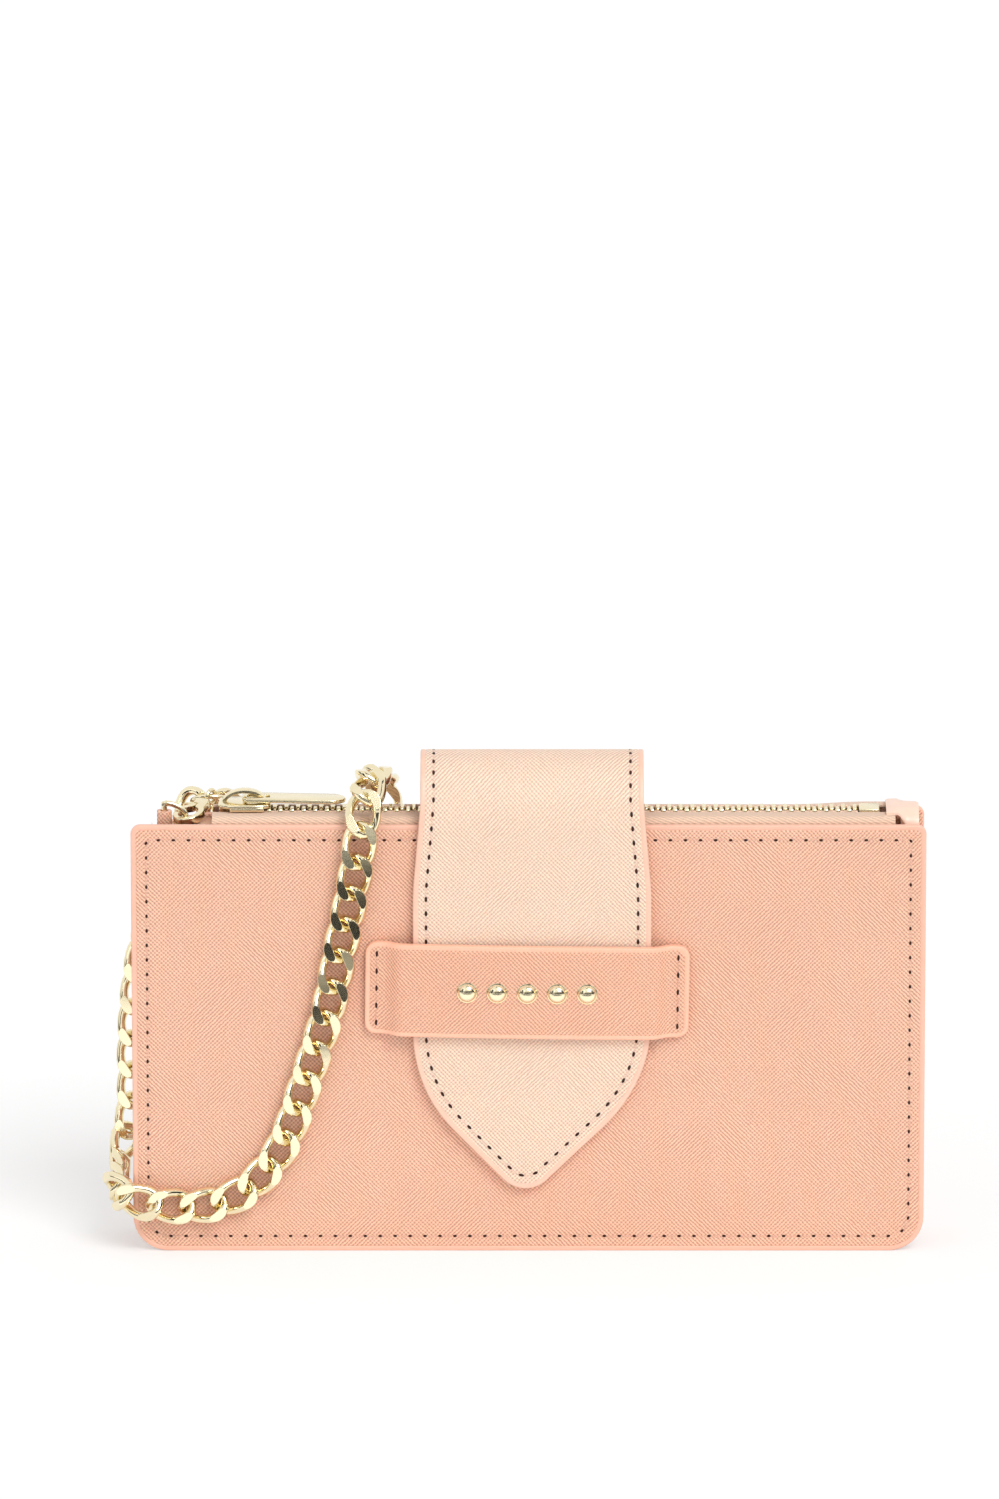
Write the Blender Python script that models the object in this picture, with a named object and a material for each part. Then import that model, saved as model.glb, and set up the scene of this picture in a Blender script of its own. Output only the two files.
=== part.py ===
"""Wristlet wallet: a flat zipped leather case with a strap flap, a keeper band and a curb chain.

The case stands on its bottom edge. X runs along its width, the front faces -Y, and Z is up. Sizes and
places below are from the middle of the case. At the end every piece hangs on one empty, which puts the
origin under the middle of the whole object's box, chain included, on the surface that it stands on.
"""

import math

import bmesh
import bpy
from mathutils import Matrix, Vector

MM = 0.001
GAP = 0.3 * MM                       # running gap kept between neighbouring pieces

# ---------------------------------------------------------------- case
WIDTH = 180 * MM
HEIGHT = 100 * MM
DEPTH = 20 * MM
BOTTOM_RADIUS = 8 * MM               # bottom corners of both panels
TOP_RADIUS = 2.2 * MM                # top corners of both panels
PANEL_THICKNESS = 1.4 * MM
SMALL_CORNER = 1 * MM                # corners of boards, linings, pocket and tabs
METAL_CORNER = 0.4 * MM              # corners of small cast pieces
CUT_MARGIN = 1 * MM                  # a cutter reaches this far past what it cuts
BOARD_THICKNESS = 0.8 * MM
LINING_THICKNESS = 0.6 * MM
SEAM_ALLOWANCE = 6.5 * MM            # rim of the panel that board and lining leave free
ZIP_SEAM = 7 * MM                    # depth of the zip tape behind the top edge
GUSSET_THICKNESS = 1.0 * MM
GUSSET_RECESS = 4.5 * MM             # from the panel edges in to the gusset web
FLANGE_SETBACK = 0.6 * MM            # flange edge inside the painted panel edge
POCKET_THICKNESS = 0.6 * MM
POCKET_HEIGHT = 52 * MM
POCKET_SIDE_MARGIN = 6 * MM
POCKET_LIFT = 1 * MM                 # above the lining's lower edge

# ---------------------------------------------------------------- zip
ZIP_START = 22.5 * MM                # first tooth in from the left edge, at the closed end
ZIP_END = 15.4 * MM                  # last tooth in from the right edge
TAPE_START = 18.4 * MM               # the tapes' ends, measured in the same way
TAPE_END = 7 * MM
TAPE_THICKNESS = 0.4 * MM
TAPE_TURN = 1.2 * MM                 # radius of the fold over the lining's top edge
ZIP_RISE = 1.2 * MM                  # tooth plane above the panels' top edge
TOOTH_PITCH = 2.63 * MM
TOOTH_WIDTH = 0.95 * MM
TOOTH_REACH = 1.1 * MM               # tooth tip past the middle line
TOOTH_ROOT = 2.1 * MM                # inner face of the tape bead from the middle line
BEAD_OUTER = 3.0 * MM                # outer face of the tape bead from the middle line
TOOTH_HEIGHT = 1.6 * MM
STOP_LENGTH = 4.6 * MM
END_TAB_LENGTH = 5 * MM
END_TAB_THICKNESS = 1.0 * MM
END_TAB_OVERLAP = 2 * MM             # along the zip, over or under the tape ends
END_TAB_DROP = 0.9 * MM              # room under the slider for the left tab

SLIDER_LENGTH = 12 * MM
SLIDER_WIDTH = 9 * MM
SLIDER_PLATE = 0.9 * MM
SLIDER_RAIL = 1.2 * MM               # width of the rail along each side of a plate
SLIDER_POST_LENGTH = 2.2 * MM
SLIDER_POST_WIDTH = 1.8 * MM
BRIDGE_LENGTH = 10.6 * MM
BRIDGE_HEIGHT = 3.0 * MM
BRIDGE_BAR = 1.1 * MM
BRIDGE_WIDTH = 2.4 * MM
PULLER_LENGTH = 23.4 * MM
PULLER_WIDTH = 6.6 * MM
PULLER_THICKNESS = 0.9 * MM
PULLER_BAR = 1.1 * MM                # the bar of its eye, which turns under the bridge
PULLER_LIFT = 0.45 * MM              # room for that bar to turn over the slider
PULLER_BEND = 6 * MM                 # length of its rounded tip
PULLER_CHAMFER = 0.6 * MM

# ---------------------------------------------------------------- flap and keeper band
FLAP_CENTRE_X = 0.8 * MM
FLAP_WIDTH = 54 * MM
FLAP_TOP_WIDTH = 50.5 * MM
FLAP_LEATHER = 1.2 * MM
FLAP_LINING = 0.7 * MM
FLAP_CREST = 15 * MM                 # top of the arch above the panels' top edge
FLAP_SPRING = 1.0 * MM               # the arch springs this far below the top edge
FLAP_ROOT_DEPTH = 25 * MM            # leaf sewn on the back panel
FLAP_ROOT_RADIUS = 6 * MM
FLAP_ROOT_TOP_RADIUS = 0.2 * MM
FLAP_TIP_Z = 15.4 * MM
FLAP_TIP_FLAT = 0.02 * MM            # the tongue's last section lies this far above its tip
FLAP_SPLIT_LIFT = 1.2 * MM           # the strap ends and the tongue starts this far above the band
HINGE_DROP = 2.5 * MM                # the flap turns this far below the panels' top edge
TONGUE_SIDE_RADIUS = 26 * MM
TONGUE_TIP_RADIUS = 9.7 * MM
TONGUE_CURVE_LENGTH = 34 * MM        # from where the sides start to draw in, down to the tip
TAPER_START = 15 * MM                # the flap narrows from here below the top edge
TAPER_LENGTH = 20 * MM

BAND_CENTRE_X = -0.3 * MM
BAND_DROP = 38 * MM                  # its middle, below the panels' top edge
BAND_WIDTH = 73.5 * MM
BAND_HEIGHT = 21.5 * MM
BAND_THICKNESS = 1.6 * MM
BAND_CORNER = 2.7 * MM
BAND_TILT = math.radians(0.8)
BAND_RAMP = 4.4 * MM                 # width of the slope beside the flap
BAND_CROWN = 0.7 * MM                # extra bulge at the middle
STUD_COUNT = 5
STUD_RADIUS = 2.4 * MM
STUD_HEIGHT = 1.5 * MM
STUD_PITCH = 6.8 * MM

# ---------------------------------------------------------------- ring, clasp and chain
RING_INSET = 7.4 * MM                # the D-ring's straight bar, from the left edge
RING_DROP = 0.6 * MM                 # its middle, below the top edge
RING_WIRE = 0.65 * MM                # wire radius
RING_HALF_HEIGHT = 3.3 * MM          # middle of the wire
RING_REACH = 4.9 * MM                # from the bar to the far side of the bow
TAB_HEIGHT = 3.2 * MM
TAB_WALL = 0.8 * MM

CLASP_LENGTH = 10.6 * MM
CLASP_THICKNESS = 1.9 * MM
CLASP_LOOP_OUTER = (3.9 * MM, 3.5 * MM)
CLASP_LOOP_INNER = (2.6 * MM, 2.1 * MM)
CLASP_TAIL_WIDTH = 3.6 * MM
CLASP_TAIL_LENGTH = 1.4 * MM         # the block that the swivel's stem turns in
CLASP_NOTCH = 1.0 * MM               # room round the heel of the lever
CLASP_NOTCH_FLOOR = 0.1 * MM
CLASP_PLAY = 0.8 * MM                # between the hook and the ring that it holds
CLASP_HEADING = Vector((2, 3, 1)).normalized()
CLASP_GATE_START = math.radians(18)
CLASP_GATE_END = math.radians(104)
CLASP_GATE_GAP = math.radians(13)    # between the tip of the gate and the hook
LEVER_WIDTH = 1.15 * MM
LEVER_PIVOT = (7.5 * MM, 1.3 * MM)
LEVER_HEEL = (                       # its outline round the pivot
    (-0.3 * MM, -0.9 * MM), (0.5 * MM, -0.9 * MM), (0.6 * MM, 0.6 * MM), (0.5 * MM, 2.0 * MM),
    (-0.3 * MM, 2.1 * MM),
)
STEM_RADIUS = 0.5 * MM               # the swivel's stem
EYE_STANDOFF = 0.5 * MM              # between the clasp and the swivel's eye
EYE_RADIUS = 1.5 * MM
EYE_WIRE = 0.5 * MM
JUMP_RING_RADIUS = 4.4 * MM
JUMP_RING_WIRE = 0.6 * MM
JUMP_RING_TILT = math.radians(30)
JUMP_RING_PLAY = 1.1 * MM            # the ring lies this much off the ends of the links that it joins

LINK_HALF_LENGTH = 4.85 * MM         # middle of the wire
LINK_HALF_WIDTH = 3.3 * MM           # middle of the wire
LINK_WIRE_WIDTH = 1.75 * MM
LINK_TWIST = 1.35 * MM               # how far a link rises and falls, so that it laces its neighbours
LINK_FLAT = 1.85 * MM                # the links are ground flat this far from their middle plane
LINK_PITCH = 7.35 * MM
FUSED_WIRE = 2.35 * MM               # hidden strands: links bear on each other and make one body
CHAIN_LIE = 2.2 * MM                 # middle of the links off the panels
CHAIN_RISE = 8.7 * MM                # middle of the links above the top edge where they cross the zip
SINGLE_LEFT = 10 * MM                # front links are single pieces this far in from the left edge
SINGLE_TOP = 7 * MM                  # and this far below the top edge
SIDE_SINGLE_LEFT = 4 * MM            # so are those that show beside the left edge, this near to it
SIDE_SINGLE_LOW = 0.32               # between these shares of the height
SIDE_SINGLE_HIGH = 0.70

# ---------------------------------------------------------------- worked out from the sizes above
BACK = DEPTH / 2
PANEL_INNER = BACK - PANEL_THICKNESS             # distance of both panels' inner faces from the middle
LAYER_OUTER = PANEL_INNER - GAP                  # outer face of the board, flange and tape
LINING_OUTER = LAYER_OUTER - BOARD_THICKNESS - GAP
LINING_INNER = LINING_OUTER - LINING_THICKNESS
ZIP_Z = HEIGHT + ZIP_RISE
ZIP_LEFT = -WIDTH / 2 + ZIP_START
ZIP_RIGHT = WIDTH / 2 - ZIP_END
TAPE_LEFT = -WIDTH / 2 + TAPE_START
TAPE_RIGHT = WIDTH / 2 - TAPE_END
FLAP_INNER = BACK + GAP
FLAP_LEATHER_IN = FLAP_LINING + GAP              # offset of the leather from the flap's inner face
FLAP_TOTAL = FLAP_LEATHER_IN + FLAP_LEATHER
FLAP_OUTER = FLAP_INNER + FLAP_TOTAL
FLAP_SPRING_Z = HEIGHT - FLAP_SPRING
HINGE_Z = HEIGHT - HINGE_DROP
TAPER_LOW = HEIGHT - TAPER_START
TAPER_HIGH = TAPER_LOW + TAPER_LENGTH
BAND_CENTRE_Z = HEIGHT - BAND_DROP
BAND_TOP = BAND_CENTRE_Z + BAND_HEIGHT / 2
STRAP_END_Z = BAND_TOP + FLAP_SPLIT_LIFT
SLIDER_X = ZIP_LEFT - GAP - SLIDER_POST_LENGTH - GAP + SLIDER_LENGTH / 2
RING_BAR_X = -WIDTH / 2 + RING_INSET
RING_CENTRE_Z = HEIGHT - RING_DROP
CHAIN_SPAN = WIDTH / 2 + BAND_CENTRE_X - BAND_WIDTH / 2      # left edge to the band's left end


# ---------------------------------------------------------------- materials
def material(name, rgb, roughness, metallic=0.0):
    made = bpy.data.materials.new(name)
    made.use_nodes = True
    shader = made.node_tree.nodes["Principled BSDF"]
    shader.inputs["Base Color"].default_value = (*rgb, 1.0)
    shader.inputs["Roughness"].default_value = roughness
    shader.inputs["Metallic"].default_value = metallic
    return made


PINK_LEATHER = ("pink_saffiano_leather", (0.88, 0.52, 0.39), 0.5)
PALE_LEATHER = ("pale_pink_leather", (0.93, 0.70, 0.56), 0.5)
CORAL_LEATHER = ("coral_leather", (0.86, 0.45, 0.33), 0.5)
LINING_CLOTH = ("lining_cloth", (0.62, 0.42, 0.33), 0.9)
BOARD = ("fibre_board", (0.45, 0.36, 0.27), 0.9)
TAPE_CLOTH = ("zip_tape_cloth", (0.80, 0.50, 0.40), 0.85)
GOLD = ("polished_gold_plate", (0.95, 0.72, 0.36), 0.18, 1.0)


# ---------------------------------------------------------------- mesh helpers
def clear_scene():
    for item in list(bpy.data.objects):
        bpy.data.objects.remove(item, do_unlink=True)


def make_object(name, bm, finish, smooth_angle=None):
    bmesh.ops.remove_doubles(bm, verts=bm.verts, dist=1e-7)
    bmesh.ops.recalc_face_normals(bm, faces=bm.faces)
    mesh = bpy.data.meshes.new(name)
    bm.to_mesh(mesh)
    bm.free()
    mesh.materials.append(material(name + "_" + finish[0], *finish[1:]))
    if smooth_angle is not None:
        mesh.shade_smooth()
        mesh.set_sharp_from_angle(angle=math.radians(smooth_angle))
    made = bpy.data.objects.new(name, mesh)
    bpy.context.scene.collection.objects.link(made)
    return made


def loft(bm, rings, closed=False):
    """Skin a row of rings that have as many points each, and cap the two ends unless the row is closed."""
    rows = [[bm.verts.new(point) for point in ring] for ring in rings]
    pairs = list(zip(rows, rows[1:]))
    if closed:
        pairs.append((rows[-1], rows[0]))
    count = len(rows[0])
    for lower, upper in pairs:
        for i in range(count):
            j = (i + 1) % count
            bm.faces.new((lower[i], lower[j], upper[j], upper[i]))
    if not closed:
        bm.faces.new(rows[0])
        bm.faces.new(reversed(rows[-1]))


def loft_object(name, rings, finish, closed=False, smooth_angle=None):
    bm = bmesh.new()
    loft(bm, rings, closed)
    return make_object(name, bm, finish, smooth_angle)


def prism(name, outline, place, low, high, finish):
    """A flat outline of (a, b) points, extruded from low to high. place turns (a, b, height) into a point."""
    rings = [[place(a, b, level) for a, b in outline] for level in (low, high)]
    return loft_object(name, rings, finish)


def facing_y(a, b, level):
    return Vector((a, level, b))


def facing_z(a, b, level):
    return Vector((a, b, level))


def facing_x(a, b, level):
    return Vector((level, a, b))


def arc(centre, radius, start, end, steps):
    """Points on an arc, angles in radians. radius is one number, or a pair for an ellipse."""
    across, up = radius if isinstance(radius, tuple) else (radius, radius)
    points = []
    for i in range(steps + 1):
        angle = start + (end - start) * i / steps
        points.append((centre[0] + across * math.cos(angle), centre[1] + up * math.sin(angle)))
    return points


def rounded_rectangle(left, right, low, high, low_radius, high_radius, steps=6):
    quarter = math.pi / 2
    corners = [
        ((right - low_radius, low + low_radius), low_radius, -quarter),
        ((right - high_radius, high - high_radius), high_radius, 0.0),
        ((left + high_radius, high - high_radius), high_radius, quarter),
        ((left + low_radius, low + low_radius), low_radius, 2 * quarter),
    ]
    points = []
    for centre, radius, start in corners:
        points += arc(centre, radius, start, start + quarter, steps)
    return points


def tube_rings(path, normal, radius, sides=8):
    """Round rings square to a closed flat path; normal is the path's plane."""
    rings = []
    for i, point in enumerate(path):
        ahead = path[(i + 1) % len(path)] - path[i - 1]
        side = ahead.normalized().cross(normal)
        ring = []
        for k in range(sides):
            angle = 2 * math.pi * k / sides
            ring.append(point + radius * (math.cos(angle) * side + math.sin(angle) * normal))
        rings.append(ring)
    return rings


def apply_boolean(target, cutter, operation):
    change = target.modifiers.new(operation.lower(), "BOOLEAN")
    change.operation = operation
    change.object = cutter
    change.solver = "EXACT"
    graph = bpy.context.evaluated_depsgraph_get()
    result = bpy.data.meshes.new_from_object(target.evaluated_get(graph))
    target.modifiers.clear()
    target.data = result
    bpy.data.objects.remove(cutter, do_unlink=True)


# ---------------------------------------------------------------- case
def build_panels():
    outline = rounded_rectangle(-WIDTH / 2, WIDTH / 2, 0, HEIGHT, BOTTOM_RADIUS, TOP_RADIUS)
    inner_side = WIDTH / 2 - SEAM_ALLOWANCE
    inner = rounded_rectangle(
        -inner_side, inner_side, SEAM_ALLOWANCE, HEIGHT - ZIP_SEAM - GAP,
        max(BOTTOM_RADIUS - SEAM_ALLOWANCE, SMALL_CORNER), SMALL_CORNER, 3,
    )
    layers = [
        ("panel", outline, PANEL_INNER, BACK, PINK_LEATHER),
        ("stiffener", inner, LAYER_OUTER - BOARD_THICKNESS, LAYER_OUTER, BOARD),
        ("lining", inner, LINING_INNER, LINING_OUTER, LINING_CLOTH),
    ]
    for side, sign in (("front", -1), ("back", 1)):
        for name, shape, near, far, finish in layers:
            prism(f"{side}_{name}", shape, facing_y, sign * near, sign * far, finish)


def gusset_path(steps=8):
    """The panels' edge from the top left down, along the bottom and up to the top right, with its normals."""
    half = WIDTH / 2
    top = HEIGHT - TOP_RADIUS
    path = [((-half, top), (-1, 0))]
    for centre_x, start in ((-half + BOTTOM_RADIUS, math.pi), (half - BOTTOM_RADIUS, 1.5 * math.pi)):
        for i in range(steps + 1):
            angle = start + math.pi / 2 * i / steps
            normal = (math.cos(angle), math.sin(angle))
            point = (centre_x + BOTTOM_RADIUS * normal[0], BOTTOM_RADIUS + BOTTOM_RADIUS * normal[1])
            path.append((point, normal))
    path.append(((half, top), (1, 0)))
    return path


def build_gusset():
    edge = LAYER_OUTER
    inner = LAYER_OUTER - GUSSET_THICKNESS
    deep = GUSSET_RECESS + GUSSET_THICKNESS
    section = [
        (FLANGE_SETBACK, -edge), (FLANGE_SETBACK, -inner), (GUSSET_RECESS, -inner),
        (GUSSET_RECESS, inner), (FLANGE_SETBACK, inner), (FLANGE_SETBACK, edge),
        (deep, edge), (deep, -edge),
    ]
    rings = []
    for point, normal in gusset_path():
        rings.append([Vector((point[0] - normal[0] * inset, y, point[1] - normal[1] * inset))
                      for inset, y in section])
    loft_object("gusset", rings, PINK_LEATHER)


def build_card_pocket():
    outer = LINING_INNER - GAP
    half = WIDTH / 2 - SEAM_ALLOWANCE - POCKET_SIDE_MARGIN
    low = SEAM_ALLOWANCE + POCKET_LIFT
    outline = rounded_rectangle(-half, half, low, low + POCKET_HEIGHT, SMALL_CORNER, SMALL_CORNER, 3)
    prism("card_pocket", outline, facing_y, outer - POCKET_THICKNESS, outer, LINING_CLOTH)


# ---------------------------------------------------------------- zip
def build_tapes():
    """Each tape runs up behind its panel, turns over the lining and ends at the tooth bead."""
    middle = LAYER_OUTER - TAPE_THICKNESS / 2
    line = [
        (middle, HEIGHT - ZIP_SEAM),
        (middle, HEIGHT - 0.75 * TAPE_TURN),
        (middle - 0.25 * TAPE_TURN, HEIGHT + 0.25 * TAPE_TURN),
        (middle - TAPE_TURN, ZIP_Z),
        (BEAD_OUTER + GAP, ZIP_Z),
    ]
    half = TAPE_THICKNESS / 2
    for side, sign in (("front", -1), ("back", 1)):
        outer, inner = [], []
        for i, (y, z) in enumerate(line):
            before = line[max(i - 1, 0)]
            after = line[min(i + 1, len(line) - 1)]
            run = Vector((after[0] - before[0], after[1] - before[1])).normalized()
            outer.append((sign * (y + run[1] * half), z - run[0] * half))
            inner.append((sign * (y - run[1] * half), z + run[0] * half))
        outline = outer + inner[::-1]
        prism(f"zip_tape_{side}", outline, facing_x, TAPE_LEFT, TAPE_RIGHT, TAPE_CLOTH)


def tooth_outline(first, sign):
    """A comb seen from above: a straight bead along the tape with a tooth every pitch."""
    points = [(ZIP_LEFT, sign * BEAD_OUTER), (ZIP_LEFT, sign * TOOTH_ROOT)]
    x = first
    while x + TOOTH_WIDTH <= ZIP_RIGHT:
        points += [
            (x, sign * TOOTH_ROOT), (x, -sign * TOOTH_REACH),
            (x + TOOTH_WIDTH, -sign * TOOTH_REACH), (x + TOOTH_WIDTH, sign * TOOTH_ROOT),
        ]
        x += TOOTH_PITCH
    return points + [(ZIP_RIGHT, sign * TOOTH_ROOT), (ZIP_RIGHT, sign * BEAD_OUTER)]


def build_teeth():
    low, high = ZIP_Z - TOOTH_HEIGHT / 2, ZIP_Z + TOOTH_HEIGHT / 2
    start = ZIP_LEFT + GAP
    for side, sign, first in (("front", -1, start), ("back", 1, start + TOOTH_PITCH / 2)):
        prism(f"zip_teeth_{side}", tooth_outline(first, sign), facing_z, low, high, GOLD)
    left = ZIP_RIGHT + GAP
    stop = rounded_rectangle(
        left, left + STOP_LENGTH, -BEAD_OUTER, BEAD_OUTER, METAL_CORNER, METAL_CORNER, 2)
    prism("zip_bottom_stop", stop, facing_z, low, high, GOLD)


def build_end_tabs():
    """A leather tab closes each end of the zip: over the tapes on the right, under the slider on the left."""
    half = LINING_INNER - GAP
    over = ZIP_Z + TAPE_THICKNESS / 2 + GAP
    under = ZIP_Z - TOOTH_HEIGHT / 2 - GAP - SLIDER_PLATE - END_TAB_DROP - END_TAB_THICKNESS
    tabs = (
        ("left", TAPE_LEFT + END_TAB_OVERLAP - END_TAB_LENGTH, under),
        ("right", TAPE_RIGHT - END_TAB_OVERLAP, over),
    )
    for side, left, low in tabs:
        outline = rounded_rectangle(left, left + END_TAB_LENGTH, -half, half, SMALL_CORNER, SMALL_CORNER, 3)
        prism(f"zip_end_tab_{side}", outline, facing_z, low, low + END_TAB_THICKNESS, PINK_LEATHER)


def build_slider():
    tape_slot = TAPE_THICKNESS / 2 + GAP
    tooth_room = TOOTH_HEIGHT / 2 + GAP
    outside = SLIDER_WIDTH / 2
    left = SLIDER_X - SLIDER_LENGTH / 2
    right = SLIDER_X + SLIDER_LENGTH / 2
    rail = outside - SLIDER_RAIL
    post = SLIDER_POST_WIDTH / 2

    def plate(name, sign):
        section = [
            (-outside, tape_slot), (-rail, tape_slot), (-rail, tooth_room), (rail, tooth_room),
            (rail, tape_slot), (outside, tape_slot),
            (outside, tooth_room + SLIDER_PLATE * 0.55), (outside - SLIDER_RAIL, tooth_room + SLIDER_PLATE),
            (-outside + SLIDER_RAIL, tooth_room + SLIDER_PLATE), (-outside, tooth_room + SLIDER_PLATE * 0.55),
        ]
        outline = [(y, ZIP_Z + sign * z) for y, z in section]
        return prism(name, outline, facing_x, left, right, GOLD)

    slider = plate("zip_slider", 1)
    lower = plate("slider_lower_plate", -1)
    apply_boolean(slider, lower, "UNION")
    wedge = prism(
        "slider_post",
        rounded_rectangle(left, left + SLIDER_POST_LENGTH, -post, post, METAL_CORNER, METAL_CORNER, 2),
        facing_z, ZIP_Z - tooth_room - SLIDER_PLATE / 2, ZIP_Z + tooth_room + SLIDER_PLATE / 2, GOLD)
    apply_boolean(slider, wedge, "UNION")
    top = ZIP_Z + tooth_room + SLIDER_PLATE
    foot = top - SLIDER_PLATE / 2
    half = BRIDGE_LENGTH / 2
    rise = BRIDGE_HEIGHT + SLIDER_PLATE / 2
    outer = arc((SLIDER_X, foot), (half, rise), math.pi, 0, 14)
    inner = arc((SLIDER_X, foot), (half - BRIDGE_BAR, rise - BRIDGE_BAR), 0, math.pi, 14)
    bridge = prism("slider_bridge", outer + inner, facing_y, -BRIDGE_WIDTH / 2, BRIDGE_WIDTH / 2, GOLD)
    apply_boolean(slider, bridge, "UNION")
    return top


def build_puller(top):
    """A flat leaf plate that lies on the zip. The bar of its eye lies under the middle of the bridge."""
    low = top + PULLER_LIFT
    left = SLIDER_X - PULLER_BAR / 2
    right = left + PULLER_LENGTH
    half = PULLER_WIDTH / 2
    outline = [(left, half - PULLER_CHAMFER), (left, -half + PULLER_CHAMFER), (left + PULLER_CHAMFER, -half)]
    outline += arc((right - PULLER_BEND, 0), (PULLER_BEND, half), -math.pi / 2, math.pi / 2, 10)
    outline += [(left + PULLER_CHAMFER, half)]
    puller = prism("zip_puller", outline, facing_z, low, low + PULLER_THICKNESS, GOLD)
    window = prism(
        "puller_window",
        rounded_rectangle(left + PULLER_BAR, SLIDER_X + BRIDGE_LENGTH / 2 + GAP,
                          -BRIDGE_WIDTH / 2 - GAP, BRIDGE_WIDTH / 2 + GAP, METAL_CORNER, METAL_CORNER, 2),
        facing_z, low - CUT_MARGIN, low + PULLER_THICKNESS + CUT_MARGIN, GOLD)
    apply_boolean(puller, window, "DIFFERENCE")


# ---------------------------------------------------------------- flap
def flap_half_width(z):
    taper = min(max((z - TAPER_LOW) / (TAPER_HIGH - TAPER_LOW), 0.0), 1.0)
    return (FLAP_WIDTH + (FLAP_TOP_WIDTH - FLAP_WIDTH) * taper) / 2


def tongue_half_width(z):
    """Straight sides, then an arc that draws in to 45 degrees, a straight run, and a round tip."""
    run = FLAP_TIP_Z + TONGUE_CURVE_LENGTH - z
    full = FLAP_WIDTH / 2
    if run <= 0:
        return full
    turn = TONGUE_SIDE_RADIUS * math.sin(math.pi / 4)
    if run <= turn:
        return full - TONGUE_SIDE_RADIUS + math.sqrt(TONGUE_SIDE_RADIUS ** 2 - run ** 2)
    slope = full - TONGUE_SIDE_RADIUS + turn - (run - turn)
    to_tip = z - FLAP_TIP_Z
    if to_tip < TONGUE_TIP_RADIUS * (1 - math.cos(math.pi / 4)):
        return math.sqrt(max(TONGUE_TIP_RADIUS ** 2 - (TONGUE_TIP_RADIUS - to_tip) ** 2, 0.0))
    return max(slope, 0.0)


def strap_stations():
    """Inner face of the flap, from its hinge over the arch to the band: (y, z, normal y, normal z)."""
    rise = HEIGHT + FLAP_CREST - FLAP_TOTAL - FLAP_SPRING_Z
    stations = [(FLAP_INNER, HINGE_Z + GAP, 1.0, 0.0)]
    for i in range(25):
        angle = math.pi * i / 24
        normal = Vector((rise * math.cos(angle), FLAP_INNER * math.sin(angle))).normalized()
        stations.append((FLAP_INNER * math.cos(angle), FLAP_SPRING_Z + rise * math.sin(angle), *normal))
    for i in range(1, 4):
        z = FLAP_SPRING_Z + (STRAP_END_Z - FLAP_SPRING_Z) * i / 3
        stations.append((-FLAP_INNER, z, -1.0, 0.0))
    return stations


def strip_rings(stations, low, high, half_width):
    rings = []
    for y, z, normal_y, normal_z in stations:
        half = half_width(z)
        near = (y + normal_y * low, z + normal_z * low)
        far = (y + normal_y * high, z + normal_z * high)
        rings.append([
            Vector((FLAP_CENTRE_X - half, *near)), Vector((FLAP_CENTRE_X + half, *near)),
            Vector((FLAP_CENTRE_X + half, *far)), Vector((FLAP_CENTRE_X - half, *far)),
        ])
    return rings


def build_flap():
    half = FLAP_TOP_WIDTH / 2
    root = rounded_rectangle(
        FLAP_CENTRE_X - half, FLAP_CENTRE_X + half, HINGE_Z - FLAP_ROOT_DEPTH, HINGE_Z,
        FLAP_ROOT_RADIUS, FLAP_ROOT_TOP_RADIUS, 5)
    prism("flap_root_leaf", root, facing_y, FLAP_INNER, FLAP_OUTER, PALE_LEATHER)
    layers = (("", FLAP_LEATHER_IN, FLAP_TOTAL, PALE_LEATHER), ("_lining", 0.0, FLAP_LINING, PINK_LEATHER))
    top = STRAP_END_Z - GAP
    drawn_in = FLAP_TIP_Z + TONGUE_CURVE_LENGTH
    levels = [top, drawn_in]
    levels += [FLAP_TIP_Z + TONGUE_CURVE_LENGTH * (1 - i / 22) ** 1.35 for i in range(1, 22)]
    levels.append(FLAP_TIP_Z + FLAP_TIP_FLAT)
    tongue = [(-FLAP_INNER, z, -1.0, 0.0) for z in levels]
    for suffix, low, high, finish in layers:
        strap_rings = strip_rings(strap_stations(), low, high, flap_half_width)
        tongue_rings = strip_rings(tongue, low, high, tongue_half_width)
        loft_object("flap_strap" + suffix, strap_rings, finish)
        loft_object("flap_tongue" + suffix, tongue_rings, finish)


# ---------------------------------------------------------------- keeper band
def smooth_step(value):
    value = min(max(value, 0.0), 1.0)
    return value * value * (3 - 2 * value)


def band_lift(x):
    """How far the band's inner face stands off the panel at a place along its length."""
    clear = FLAP_WIDTH / 2 + abs(FLAP_CENTRE_X - BAND_CENTRE_X) + GAP
    offset = abs(x - BAND_CENTRE_X)
    raised = smooth_step((clear + BAND_RAMP - offset) / BAND_RAMP)
    crown = BAND_CROWN * math.cos(min(offset / clear, 1.0) * math.pi / 2)
    return raised * (FLAP_TOTAL + GAP) + crown


def band_turn():
    middle = Vector((BAND_CENTRE_X, 0, BAND_CENTRE_Z))
    return Matrix.Translation(middle) @ Matrix.Rotation(BAND_TILT, 4, "Y") @ Matrix.Translation(-middle)


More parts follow.
